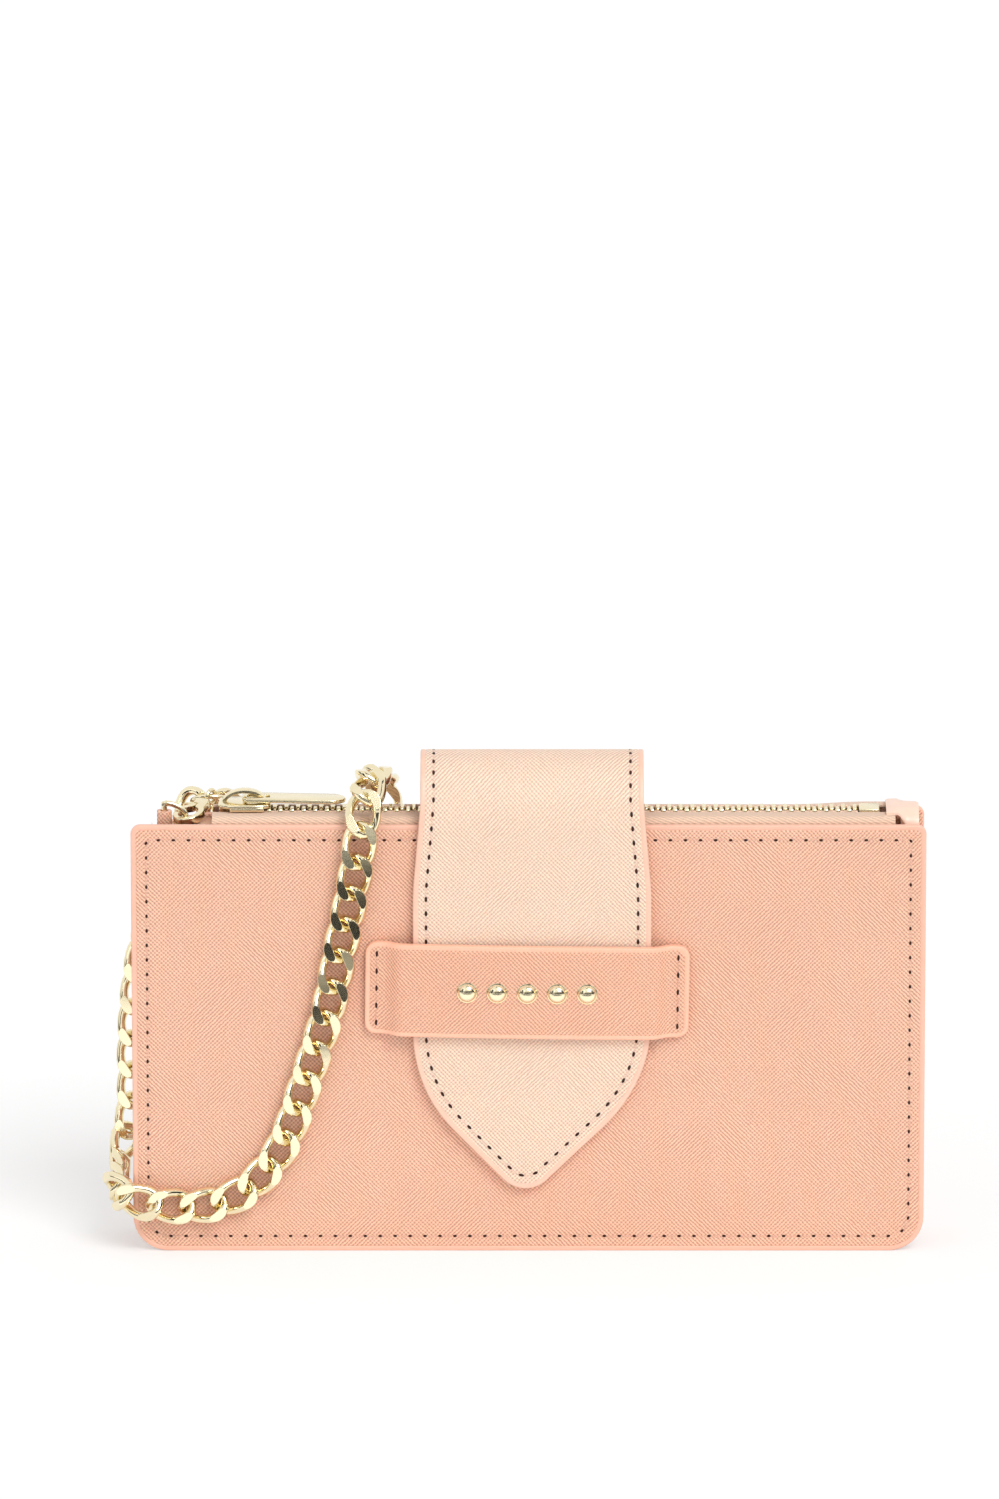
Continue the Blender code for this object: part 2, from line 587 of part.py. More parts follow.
def build_band():
    half = BAND_WIDTH / 2
    places = [half * math.sin(math.pi / 2 * (i / 20 - 1)) for i in range(41)]
    corner = [half - BAND_CORNER * (1 - math.sin(math.pi / 2 * i / 5)) for i in range(6)]
    inside = [x for x in places if abs(x) < half - BAND_CORNER * 1.02]
    places = sorted([-x for x in corner] + inside + corner)
    turn = band_turn()
    rings = []
    for offset in places:
        into = max(BAND_CORNER - (half - abs(offset)), 0.0)
        tall = BAND_HEIGHT / 2 - BAND_CORNER + math.sqrt(max(BAND_CORNER ** 2 - into ** 2, 0.0))
        x = BAND_CENTRE_X + offset
        near = -(BACK + GAP + band_lift(x))
        far = near - BAND_THICKNESS
        rings.append([turn @ Vector((x, y, BAND_CENTRE_Z + z))
                      for y, z in ((near, -tall), (near, tall), (far, tall), (far, -tall))])
    loft_object("keeper_band", rings, CORAL_LEATHER)


def build_studs():
    turn = band_turn()
    for index in range(STUD_COUNT):
        x = BAND_CENTRE_X + STUD_PITCH * (index - (STUD_COUNT - 1) / 2)
        seat = -(BACK + GAP + band_lift(x) + BAND_THICKNESS + GAP)
        rings = []
        for share in (1.0, 0.86, 0.5):
            angle = math.acos(share)
            level = seat - STUD_HEIGHT * math.sin(angle)
            rings.append([turn @ Vector((x + a, level, BAND_CENTRE_Z + b))
                          for a, b in arc((0, 0), STUD_RADIUS * share, 0, 2 * math.pi * 15 / 16, 15)])
        loft_object(f"keeper_stud_{index + 1}", rings, GOLD, smooth_angle=50)


# ---------------------------------------------------------------- ring, tab and clasp
def ring_path():
    low, high = RING_CENTRE_Z - RING_HALF_HEIGHT, RING_CENTRE_Z + RING_HALF_HEIGHT
    flat = [(RING_BAR_X, high - (high - low) * i / 4) for i in range(5)]
    sweep = (RING_REACH, RING_HALF_HEIGHT)
    bow = arc((RING_BAR_X, RING_CENTRE_Z), sweep, -math.pi / 2, math.pi / 2, 14)
    return [Vector((x, 0, z)) for x, z in flat + bow[1:-1]]


def build_ring_and_tab():
    loft_object("d_ring", tube_rings(ring_path(), Vector((0, 1, 0)), RING_WIRE), GOLD, True, 60)
    hole = RING_WIRE + GAP
    outer = hole + TAB_WALL
    tail = -WIDTH / 2 + GUSSET_RECESS + GUSSET_THICKNESS + GAP
    reach = math.asin(TAB_WALL / outer)
    outline = [(tail, -TAB_WALL)]
    outline += arc((RING_BAR_X, 0), outer, math.pi + reach, 3 * math.pi - reach, 16)
    outline += [(tail, TAB_WALL)]
    low = RING_CENTRE_Z - TAB_HEIGHT / 2
    tab = prism("d_ring_tab", outline, facing_z, low, low + TAB_HEIGHT, PINK_LEATHER)
    bore = prism("tab_bore", arc((RING_BAR_X, 0), hole, 0, 2 * math.pi * 15 / 16, 15),
                 facing_z, low - CUT_MARGIN, low + TAB_HEIGHT + CUT_MARGIN, PINK_LEATHER)
    apply_boolean(tab, bore, "DIFFERENCE")


def clasp_frame():
    """The clasp's own axes: u along it from the hook to the swivel, v across it, w through it."""
    along = CLASP_HEADING
    through = (Vector((0, 0, 1)) - along * along.z).normalized()
    across = through.cross(along)
    wire_x = RING_BAR_X + RING_REACH
    inside = CLASP_LOOP_OUTER[0] - CLASP_LOOP_INNER[0] + RING_WIRE + CLASP_PLAY
    start = Vector((wire_x, 0, RING_CENTRE_Z)) - along * inside
    frame = Matrix((along, across, through)).transposed().to_4x4()
    return Matrix.Translation(start) @ frame


def place_in_clasp(frame):
    def place(a, b, level):
        return frame @ Vector((a, b, level))
    return place


def build_clasp():
    frame = clasp_frame()
    place = place_in_clasp(frame)
    half = CLASP_THICKNESS / 2
    outer, inner = CLASP_LOOP_OUTER, CLASP_LOOP_INNER
    centre = (outer[0], 0)
    tail = CLASP_TAIL_WIDTH / 2
    outline = arc(centre, outer, CLASP_GATE_END, 2 * math.pi - math.radians(40), 18)
    shoulder = CLASP_LENGTH - CLASP_TAIL_LENGTH
    outline += [(shoulder, -tail), (CLASP_LENGTH, -tail * 0.7), (CLASP_LENGTH, tail * 0.7),
                (shoulder, tail), (shoulder - CLASP_NOTCH * 0.8, tail * 0.9),
                (shoulder - CLASP_NOTCH, CLASP_NOTCH_FLOOR),
                (centre[0] + inner[0] + CLASP_NOTCH / 2, CLASP_NOTCH_FLOOR)]
    outline += arc(centre, inner, 2 * math.pi - math.radians(8), CLASP_GATE_END, 18)
    clasp = prism("clasp_body", outline, place, -half, half, GOLD)
    room = STEM_RADIUS + GAP
    near, far = shoulder - GAP, CLASP_LENGTH + CUT_MARGIN
    stem_hole = [(near, -room), (far, -room), (far, room), (near, room)]
    bore = prism("clasp_bore", stem_hole, place, -room, room, GOLD)
    apply_boolean(clasp, bore, "DIFFERENCE")

    gate = arc(centre, outer, CLASP_GATE_START, CLASP_GATE_END - CLASP_GATE_GAP, 10)
    gate_in = arc(centre, (outer[0] - LEVER_WIDTH, outer[1] - LEVER_WIDTH),
                  CLASP_GATE_END - CLASP_GATE_GAP, CLASP_GATE_START, 10)
    heel = [(LEVER_PIVOT[0] + a, LEVER_PIVOT[1] + b) for a, b in LEVER_HEEL]
    lever = gate_in + heel + gate
    prism("clasp_lever", lever, place, -half * 0.8, half * 0.8, GOLD)
    return frame


def build_swivel_and_jump_ring(frame):
    place = place_in_clasp(frame)
    eye_u = CLASP_LENGTH + EYE_STANDOFF + EYE_RADIUS + EYE_WIRE
    eye_path = [place(a, 0, b) for a, b in arc((eye_u, 0), EYE_RADIUS, 0, 2 * math.pi * 15 / 16, 15)]
    across = (frame.to_3x3() @ Vector((0, 1, 0))).normalized()
    swivel = loft_object("clasp_swivel", tube_rings(eye_path, across, EYE_WIRE, 6), GOLD, True, 60)
    stem = [[place(u, a, b) for a, b in arc((0, 0), STEM_RADIUS, 0, 2 * math.pi * 7 / 8, 7)]
            for u in (CLASP_LENGTH - CLASP_TAIL_LENGTH, eye_u - EYE_RADIUS)]
    apply_boolean(swivel, loft_object("swivel_stem", stem, GOLD), "UNION")

    hook = place(eye_u, 0, 0)
    back = Vector((0, math.cos(JUMP_RING_TILT), -math.sin(JUMP_RING_TILT)))
    side = Vector((1, 0, 0))
    middle = hook + back * JUMP_RING_RADIUS
    path = [middle + a * side + b * back
            for a, b in arc((0, 0), JUMP_RING_RADIUS, 0, 2 * math.pi * 19 / 20, 19)]
    loft_object("jump_ring", tube_rings(path, side.cross(back), JUMP_RING_WIRE, 6), GOLD, True, 60)
    return middle


# ---------------------------------------------------------------- chain
TO_BACK, TO_FRONT, TO_LEFT, UP = (0, 1, 0), (0, -1, 0), (-1, 0, 0), (0, 0, 1)

# Where the chain passes, by hand: shares of CHAIN_SPAN in from the left edge, of BACK + CHAIN_LIE and of
# HEIGHT, and the way its flat side faces. It drops behind the back panel, wraps round the left side and
# climbs the front.
CHAIN_CLIMB = (
    (0.215, 1.082, 0.875, TO_BACK), (0.123, 1.016, 0.775, TO_BACK), (0.047, 1, 0.66, TO_BACK),
    (0.008, 1, 0.52, TO_BACK), (-0.004, 1, 0.38, TO_BACK), (-0.006, 1.041, 0.275, TO_BACK),
    (-0.055, 0.984, 0.189, (-0.7, 0.7, 0)), (-0.068, 0.328, 0.148, TO_LEFT),
    (-0.068, -0.328, 0.142, TO_LEFT), (-0.047, -1, 0.137, (-0.7, -0.7, 0)),
    (0.087, -1.057, 0.119, TO_FRONT), (0.236, -1.008, 0.112, TO_FRONT), (0.368, -1, 0.12, TO_FRONT),
    (0.497, -1, 0.156, TO_FRONT), (0.595, -1, 0.214, TO_FRONT), (0.669, -1, 0.284, TO_FRONT),
    (0.759, -1, 0.428, TO_FRONT), (0.84, -1, 0.57, TO_FRONT), (0.891, -1, 0.706, TO_FRONT),
    (0.948, -1, 0.854, TO_FRONT),
)
# It crosses over the zip. The third number is a share of CHAIN_RISE, from the top edge.
CHAIN_CROSSING = (
    (0.975, -1.025, -0.632, TO_FRONT), (0.993, -0.951, 0.276, (0, -0.9, 0.4)),
    (1.012, -0.566, 0.816, (0, -0.45, 0.9)), (1.031, -0.016, 1, UP),
    (1.058, 0.533, 0.828, (0, 0.45, 0.9)), (1.076, 0.934, 0.276, (0, 0.9, 0.4)),
    (1.08, 1.025, -0.632, TO_BACK),
)
# It hangs in a loop behind the back panel and returns to the jump ring.
CHAIN_RETURN = (
    (1.042, 1, 0.865, TO_BACK), (0.935, 1, 0.805, TO_BACK), (0.784, 1, 0.786, TO_BACK),
    (0.633, 1.008, 0.812, TO_BACK), (0.499, 1.025, 0.884, TO_BACK),
)


def chain_route(ring_middle):
    """Points that the chain passes, from the jump ring and back to it, each with the way its flat faces."""
    side = JUMP_RING_RADIUS
    hang = LINK_HALF_LENGTH - LINK_WIRE_WIDTH / 2 - JUMP_RING_WIRE - JUMP_RING_PLAY
    start = ring_middle + Vector((-side, 0, -hang))
    end = ring_middle + Vector((side, 0, -hang))
    left = -WIDTH / 2
    off = BACK + CHAIN_LIE
    levels = [(row, row[2] * HEIGHT) for row in CHAIN_CLIMB]
    levels += [(row, HEIGHT + row[2] * CHAIN_RISE) for row in CHAIN_CROSSING]
    levels += [(row, row[2] * HEIGHT) for row in CHAIN_RETURN]
    passed = [(Vector((left + row[0] * CHAIN_SPAN, row[1] * off, z)), row[3]) for row, z in levels]
    return [(start, TO_BACK)] + passed + [(end, TO_BACK)]


def spline(points, share):
    """A Catmull-Rom curve through the points; share runs from 0 to the number of spans."""
    span = min(int(share), len(points) - 2)
    t = share - span
    before = points[max(span - 1, 0)]
    first, second = points[span], points[span + 1]
    after = points[min(span + 2, len(points) - 1)]
    return 0.5 * (
        2 * first + (second - before) * t
        + (2 * before - 5 * first + 4 * second - after) * t ** 2
        + (3 * first - before - 3 * second + after) * t ** 3
    )


def chain_places(ring_middle):
    """A place and orientation for each link, evenly spaced along the route."""
    route = chain_route(ring_middle)
    points = [point for point, _ in route]
    faces = [Vector(face) for _, face in route]
    samples = 12 * (len(points) - 1)
    curve = [spline(points, i / 12) for i in range(samples + 1)]
    turned = [spline(faces, i / 12) for i in range(samples + 1)]
    run = [0.0]
    for a, b in zip(curve, curve[1:]):
        run.append(run[-1] + (b - a).length)
    count = round(run[-1] / LINK_PITCH)
    places = []
    for k in range(count + 1):
        goal = run[-1] * k / count
        i = min(max(next(n for n, length in enumerate(run) if length >= goal - 1e-9), 1), len(run) - 1)
        mix = (goal - run[i - 1]) / (run[i] - run[i - 1])
        centre = curve[i - 1].lerp(curve[i], mix)
        face = turned[i - 1].lerp(turned[i], mix)
        low, high = max(i - 3, 0), min(i + 2, len(curve) - 1)
        along = (curve[high] - curve[low]).normalized()
        face = (face - along * face.dot(along)).normalized()
        across = face.cross(along)
        places.append(Matrix.Translation(centre) @ Matrix((along, across, face)).transposed().to_4x4())
    return places


def link_rings(place, wire, segments=12, sides=6):
    """One curb link: a twisted oval ground flat on both faces."""
    rings = []
    for i in range(segments):
        angle = 2 * math.pi * i / segments
        centre = Vector((LINK_HALF_LENGTH * math.cos(angle), LINK_HALF_WIDTH * math.sin(angle),
                         LINK_TWIST * math.sin(2 * angle)))
        outward = Vector((math.cos(angle) * LINK_HALF_WIDTH, math.sin(angle) * LINK_HALF_LENGTH, 0))
        outward.normalize()
        ring = []
        for k in range(sides):
            turn = 2 * math.pi * (k + 0.5) / sides
            point = centre + outward * (wire / 2 * math.cos(turn))
            point.z += wire / 2 * math.sin(turn) * 1.1
            point.z = min(max(point.z, -LINK_FLAT), LINK_FLAT)
            ring.append(place @ point)
        rings.append(ring)
    return rings


def build_chain(ring_middle):
    """Links are single pieces where they show. Behind and round the edges they are fused strands."""
    places = chain_places(ring_middle)
    last = len(places) - 1
    off = BACK + CHAIN_LIE / 2
    edge = -WIDTH / 2
    front, behind = [], []
    for i, place in enumerate(places):
        x, y, z = place.translation
        if y < -off and x > edge + SINGLE_LEFT and z < HEIGHT - SINGLE_TOP:
            front.append(i)
        if y > off and x < edge + SIDE_SINGLE_LEFT and SIDE_SINGLE_LOW < z / HEIGHT < SIDE_SINGLE_HIGH:
            behind.append(i)
    singles = {f"chain_link_{n:02d}": i for n, i in enumerate(range(front[0], front[-1] + 1), start=1)}
    singles.update({f"chain_side_link_{n}": i for n, i in enumerate(behind, start=1)})
    singles.update(chain_end_link_left=0, chain_end_link_right=last)
    for name, index in singles.items():
        loft_object(name, link_rings(places[index], LINK_WIRE_WIDTH), GOLD, True, 40)
    strands = (
        ("chain_back_left", range(1, behind[0])),
        ("chain_left_wrap", range(behind[-1] + 1, front[0])),
        ("chain_over_top", range(front[-1] + 1, last)),
    )
    for name, members in strands:
        strand = None
        for index in members:
            rings = link_rings(places[index], FUSED_WIRE, 12, 5)
            link = loft_object(f"{name}_{index}", rings, GOLD, True, 40)
            if strand is None:
                link.name = name
                strand = link
            else:
                apply_boolean(strand, link, "UNION")


# ---------------------------------------------------------------- whole object
def hang_on_frame():
    """Parent every piece to one empty, moved so that the origin is under the middle of the whole box."""
    bpy.context.view_layer.update()
    frame = bpy.data.objects.new("wallet_frame", None)
    pieces = [item for item in bpy.data.objects if item.type == "MESH"]
    corners = [vertex.co for piece in pieces for vertex in piece.data.vertices]
    middle = [(min(c[axis] for c in corners) + max(c[axis] for c in corners)) / 2 for axis in (0, 1)]
    bpy.context.scene.collection.objects.link(frame)
    frame.location = (-middle[0], -middle[1], 0)
    for piece in pieces:
        piece.parent = frame


def main():
    clear_scene()
    build_panels()
    build_gusset()
    build_card_pocket()
    build_tapes()
    build_teeth()
    build_end_tabs()
    build_puller(build_slider())
    build_flap()
    build_band()
    build_studs()
    build_ring_and_tab()
    ring_middle = build_swivel_and_jump_ring(build_clasp())
    build_chain(ring_middle)
    hang_on_frame()


main()
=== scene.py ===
"""A zipped leather wristlet wallet with a strap flap, a keeper band and a curb chain, on a white table."""

import math

import bmesh
import bpy
import numpy as np
from bpy.props import FloatProperty, FloatVectorProperty, IntProperty, PointerProperty
from mathutils import Matrix, Vector


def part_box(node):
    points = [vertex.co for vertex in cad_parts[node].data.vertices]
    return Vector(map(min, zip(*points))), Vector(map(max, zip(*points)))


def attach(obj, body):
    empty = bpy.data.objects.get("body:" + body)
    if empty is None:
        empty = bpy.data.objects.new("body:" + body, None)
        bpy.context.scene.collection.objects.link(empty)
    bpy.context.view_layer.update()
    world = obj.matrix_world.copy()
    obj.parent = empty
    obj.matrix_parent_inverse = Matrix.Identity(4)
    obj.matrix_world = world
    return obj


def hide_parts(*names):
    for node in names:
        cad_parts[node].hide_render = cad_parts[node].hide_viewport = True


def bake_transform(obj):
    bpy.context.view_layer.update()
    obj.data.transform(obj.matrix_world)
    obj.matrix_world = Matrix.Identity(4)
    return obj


bl_info = {
    "name": "Wristlet Wallet",
    "version": (1, 0, 0),
    "blender": (4, 5, 0),
    "location": "3D View > Sidebar > Wallet",
    "description": "Dresses the wristlet wallet's frame with leather, zip, chain and clasp",
    "category": "Add Mesh",
}

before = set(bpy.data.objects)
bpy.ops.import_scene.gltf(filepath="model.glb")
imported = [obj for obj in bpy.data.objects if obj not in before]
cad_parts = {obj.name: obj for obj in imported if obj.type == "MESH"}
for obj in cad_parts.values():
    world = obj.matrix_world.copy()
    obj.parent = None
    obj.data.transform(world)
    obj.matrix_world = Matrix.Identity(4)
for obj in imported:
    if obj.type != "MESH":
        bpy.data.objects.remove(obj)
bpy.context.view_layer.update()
MM = 0.001

# The middle of the case, between the outer faces of its two panels.
_front_low, _front_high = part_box("front_panel")
_back_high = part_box("back_panel")[1]
MIDDLE = Vector(((_front_low.x + _front_high.x) / 2, (_front_low.y + _back_high.y) / 2, 0))
WIDTH = _front_high.x - _front_low.x
HEIGHT = _front_high.z
BACK = (_back_high.y - _front_low.y) / 2
PANEL_THICKNESS = _front_high.y - _front_low.y
TO_BACK, TO_FRONT, TO_LEFT, UP = (0, 1, 0), (0, -1, 0), (-1, 0, 0), (0, 0, 1)
GAP = 0.3 * MM


def linear(colour):
    """An sRGB hex colour as linear red, green, blue and alpha."""
    parts = [int(colour[i:i + 2], 16) / 255 for i in (1, 3, 5)]
    return (*(p / 12.92 if p <= 0.04045 else ((p + 0.055) / 1.055) ** 2.4 for p in parts), 1.0)


def colour_property(name, description, default):
    return FloatVectorProperty(
        name=name, description=description, subtype="COLOR", size=4, min=0, max=1, default=linear(default))


def length_property(name, description, default):
    return FloatProperty(
        name=name, description=description, subtype="DISTANCE", unit="LENGTH", default=default * MM,
        precision=5)


class WalletSizes(bpy.types.PropertyGroup):
    grain: length_property("Grain", "Distance between the lines pressed into the leather", 0.68)
    emboss: length_property("Emboss", "Depth of those lines", 0.08)
    stitch_pitch: length_property("Stitch pitch", "From hole to hole along a panel", 3.4)
    stitch_inset: length_property("Stitch inset", "From the panel's edge to its stitches", 3.5)
    flap_stitch_inset: length_property("Flap stitch inset", "From the flap's edge to its stitches", 3.0)
    rim: length_property("Painted rim", "Width of the painted, rounded rim", 1.15)
    tooth_pitch: length_property("Tooth pitch", "From tooth to tooth along one tape", 2.63)
    link_pitch: length_property("Link pitch", "From link to link along the chain", 7.35)
    link_sides: IntProperty(name="Link sides", description="Sides of the links' wire", default=12, min=6)


class WalletColours(bpy.types.PropertyGroup):
    panel: colour_property("Panels", "Leather of the panels and the sides", "#FABFA5")
    flap: colour_property("Flap", "Leather of the flap", "#F8D4BF")
    band: colour_property("Keeper band", "Leather of the keeper band", "#F3B89C")
    rim: colour_property("Painted edges", "Edge paint of the panels", "#EFB9A1")
    flap_rim: colour_property("Flap's edges", "Edge paint of the flap", "#EFC3AC")
    tape: colour_property("Zip tape", "Woven tape of the zip", "#EECBB1")
    thread: colour_property("Thread", "Sewing thread", "#EBB69C")
    flap_thread: colour_property("Flap thread", "Sewing thread of the flap", "#F0CDB8")
    # The needle holes' colour is painted shade, the dark that fills a hole.
    hole: colour_property("Needle holes", "The dark of the needle holes", "#3C1B10")
    gold: colour_property("Gold", "Pale gold plate", "#F3E6C2")
    lining: colour_property("Lining", "Cloth inside the case", "#B98B77")
    board: colour_property("Board", "Stiffening board", "#9C8468")
    table: colour_property("Table", "Table that the wallet stands on", "#FFFFFF")


# ---------------------------------------------------------------- materials
def add_node(tree, kind, inputs=None, **settings):
    """Adds one node. inputs maps a socket's name or number to a value, or to the output that feeds it."""
    made = tree.nodes.new(kind)
    for name, value in settings.items():
        setattr(made, name, value)
    for key, value in (inputs or {}).items():
        if isinstance(value, bpy.types.NodeSocket):
            tree.links.new(value, made.inputs[key])
        else:
            made.inputs[key].default_value = value
    return made


def new_material(name, **constants):
    """A material with a Principled shader, and its tree and shader."""
    made = bpy.data.materials.get(name)
    if made:
        return made, None, None
    made = bpy.data.materials.new(name)
    made.use_nodes = True
    tree = made.node_tree
    shader = tree.nodes["Principled BSDF"]
    for socket, value in constants.items():
        shader.inputs[socket.replace("_", " ")].default_value = value
    return made, tree, shader


def shade_of(colour, factor):
    """The colour, darker or lighter by a factor."""
    return (*(min(part * factor, 1.0) for part in colour[:3]), 1.0)


def painted_groove_shade(colour, factor):
    """Painted shade for the leather's grooves: darker than its ridges, and also redder, as light bounced about
    inside them is.
    """
    return (colour[0] * factor ** 0.8, colour[1] * factor, colour[2] * factor ** 1.08, 1.0)


def two_shades(tree, shader, level, dark, light):
    """Colours a material from dark to light, as level runs from 0 to 1."""
    mixed = add_node(tree, "ShaderNodeMix", {0: level, 6: dark, 7: light}, data_type="RGBA")
    tree.links.new(mixed.outputs[2], shader.inputs["Base Color"])


def relief(tree, shader, level, depth, strength=1.0):
    """Raises a material's surface by depth, as level runs from 0 to 1."""
    bump = add_node(tree, "ShaderNodeBump", {"Height": level, "Distance": depth, "Strength": strength})
    tree.links.new(bump.outputs[0], shader.inputs["Normal"])
    return bump


def saffiano(name, colour, sizes, groove_painted_shade=0.56):
    """Saffiano: wax-coated leather pressed with fine crossed lines, so it is satin, with painted shade that
    darkens its grooves.
    """
    made, tree, shader = new_material(
        name, Roughness=0.46, IOR=1.47, Coat_Weight=0.10, Coat_Roughness=0.38,
        Subsurface_Weight=0.30, Subsurface_Scale=1.6 * MM, Subsurface_Radius=(1.0, 0.35, 0.2))
    if tree is None:
        return made
    place = add_node(tree, "ShaderNodeAttribute", attribute_name="surface").outputs["Vector"]
    # Wave's diagonal bands run 10 radians for each unit of x + y + z, so this scale gives one line a pitch.
    scale = 2 * math.pi / (10 * math.sqrt(2) * sizes.grain)
    lines = []
    for flip in (1.0, -1.0):
        turned = add_node(tree, "ShaderNodeMapping", {"Vector": place, "Scale": (1.0, flip, 1.0)})
        lines.append(add_node(
            tree, "ShaderNodeTexWave",
            {"Vector": turned.outputs[0], "Scale": scale, "Distortion": 2.2, "Detail": 2.0,
             "Detail Scale": 1.6},
            wave_type="BANDS", bands_direction="DIAGONAL").outputs["Fac"])
    # Which of the two sets of lines stands out changes from place to place, about every 15 mm.
    patches = add_node(tree, "ShaderNodeTexNoise", {"Vector": place, "Scale": 60.0, "Detail": 1.0})
    share = add_node(
        tree, "ShaderNodeMapRange",
        {"Value": patches.outputs["Fac"], "From Min": 0.35, "From Max": 0.65, "To Min": 0.20, "To Max": 0.72})
    height = add_node(
        tree, "ShaderNodeMix", {"Factor": share.outputs[0], "A": lines[0], "B": lines[1]}, data_type="FLOAT")
    level = add_node(tree, "ShaderNodeMapRange",
                     {"Value": height.outputs[0], "From Min": 0.14, "From Max": 0.86}).outputs[0]
    # Painted shade darkens and reddens the grooves, and painted light brightens the ridges to 1.2 times the
    # leather's colour.
    grain_painted_light = add_node(tree, "ShaderNodeMix",
                      {0: level, 6: painted_groove_shade(colour, groove_painted_shade), 7: shade_of(colour, 1.20)}, data_type="RGBA")
    clouds = add_node(tree, "ShaderNodeTexNoise", {"Vector": place, "Scale": 24.0, "Detail": 3.0})
    cloud = add_node(
        tree, "ShaderNodeMapRange",
        {"Value": clouds.outputs["Fac"], "From Min": 0.3, "From Max": 0.7, "To Min": 0.0, "To Max": 1.0})
    tint = add_node(
        tree, "ShaderNodeMix", {0: cloud.outputs[0], 6: (0.975, 0.955, 0.94, 1.0), 7: (1.0, 1.0, 1.0, 1.0)},
        data_type="RGBA")
    final = add_node(tree, "ShaderNodeMix", {0: 1.0, 6: grain_painted_light.outputs[2], 7: tint.outputs[2]},
                     data_type="RGBA", blend_type="MULTIPLY")
    tree.links.new(final.outputs[2], shader.inputs["Base Color"])
    rough = add_node(tree, "ShaderNodeMapRange", {"Value": level, "To Min": 0.58, "To Max": 0.42})
    tree.links.new(rough.outputs[0], shader.inputs["Roughness"])
    pores = add_node(tree, "ShaderNodeTexNoise", {"Vector": place, "Scale": 2600.0, "Detail": 2.0})
    skin = add_node(tree, "ShaderNodeMath", {0: pores.outputs["Fac"], 1: 0.25, 2: level},
                    operation="MULTIPLY_ADD")
    grain = relief(tree, shader, skin.outputs[0], sizes.emboss)
    # The skin over the board is a little uneven, in dips about 25 mm wide.
    swell = add_node(tree, "ShaderNodeTexNoise", {"Vector": place, "Scale": 38.0, "Detail": 1.0})
    soft = relief(tree, shader, swell.outputs["Fac"], 0.5 * MM, 0.6)
    tree.links.new(grain.outputs[0], soft.inputs["Normal"])
    return made


def edge_paint(name, colour):
    """Edge paint: brushed-on polyurethane over the cut leather, smooth, rounded and slightly glossy."""
    made, tree, shader = new_material(name, Roughness=0.36, IOR=1.49, Coat_Weight=0.15, Coat_Roughness=0.2)
    if tree is None:
        return made
    place = add_node(tree, "ShaderNodeTexCoord").outputs["Object"]
    streaks = add_node(tree, "ShaderNodeTexNoise", {"Vector": place, "Scale": 420.0, "Detail": 2.0})
    two_shades(tree, shader, streaks.outputs["Fac"], shade_of(colour, 0.94), shade_of(colour, 1.04))
    relief(tree, shader, streaks.outputs["Fac"], 0.05 * MM)
    return made


def plated_gold(name, colour, roughness, wear=0.05):
    """Pale gold plate on a zinc casting: polished to a mirror with fine handling marks."""
    made, tree, shader = new_material(name, Metallic=1.0, Roughness=roughness)
    if tree is None:
        return made
    place = add_node(tree, "ShaderNodeTexCoord").outputs["Object"]
    marks = add_node(tree, "ShaderNodeTexNoise", {"Vector": place, "Scale": 320.0, "Detail": 4.0})
    rough = add_node(tree, "ShaderNodeMapRange",
                     {"Value": marks.outputs["Fac"], "To Min": roughness, "To Max": roughness + wear})
    tree.links.new(rough.outputs[0], shader.inputs["Roughness"])
    two_shades(tree, shader, marks.outputs["Fac"], shade_of(colour, 0.93), shade_of(colour, 1.05))
    dents = add_node(tree, "ShaderNodeTexNoise", {"Vector": place, "Scale": 900.0, "Detail": 1.0})
    relief(tree, shader, dents.outputs["Fac"], 0.004 * MM, 0.4)
    return made


def twill(name, colour, pitch):
    """Twill: woven polyester with slanting ribs. Matt, with a little sheen and painted shade in the gaps
    between ribs.
    """
    made, tree, shader = new_material(name, Roughness=0.85, Sheen_Weight=0.25, Sheen_Roughness=0.5)
    if tree is None:
        return made
    place = add_node(tree, "ShaderNodeAttribute", attribute_name="surface").outputs["Vector"]
    slant = add_node(tree, "ShaderNodeMapping", {"Vector": place, "Rotation": (0.0, 0.0, math.radians(-68))})
    ribs = add_node(
        tree, "ShaderNodeTexWave",
        {"Vector": slant.outputs[0], "Scale": 2 * math.pi / (20 * pitch), "Distortion": 1.0, "Detail": 1.0},
        wave_type="BANDS", bands_direction="X").outputs["Fac"]
    yarn = add_node(
        tree, "ShaderNodeTexWave",
        {"Vector": place, "Scale": 2 * math.pi / (20 * pitch * 0.8), "Distortion": 0.6},
        wave_type="BANDS", bands_direction="Y").outputs["Fac"]
    height = add_node(tree, "ShaderNodeMath", {0: yarn, 1: 0.35, 2: ribs}, operation="MULTIPLY_ADD").outputs[0]
    level = add_node(tree, "ShaderNodeMapRange", {"Value": height, "From Max": 1.35}).outputs[0]
    # Painted shade darkens the gaps between the ribs, and painted light brightens the ribs' tops.
    two_shades(tree, shader, level, shade_of(colour, 0.72), shade_of(colour, 1.1))
    relief(tree, shader, level, 0.12 * MM)
    return made


def sewing_thread(name, colour):
    """Polyester thread: two plies twisted, satin."""
    made, tree, shader = new_material(name, Roughness=0.6, Sheen_Weight=0.2)
    if tree is None:
        return made
    place = add_node(tree, "ShaderNodeTexCoord").outputs["Object"]
    plies = add_node(tree, "ShaderNodeTexWave", {"Vector": place, "Scale": 900.0, "Distortion": 0.8},
                     wave_type="BANDS", bands_direction="DIAGONAL").outputs["Fac"]
    # Painted shade darkens the groove between the two plies.
    two_shades(tree, shader, plies, shade_of(colour, 0.78), shade_of(colour, 1.05))
    relief(tree, shader, plies, 0.06 * MM)
    return made


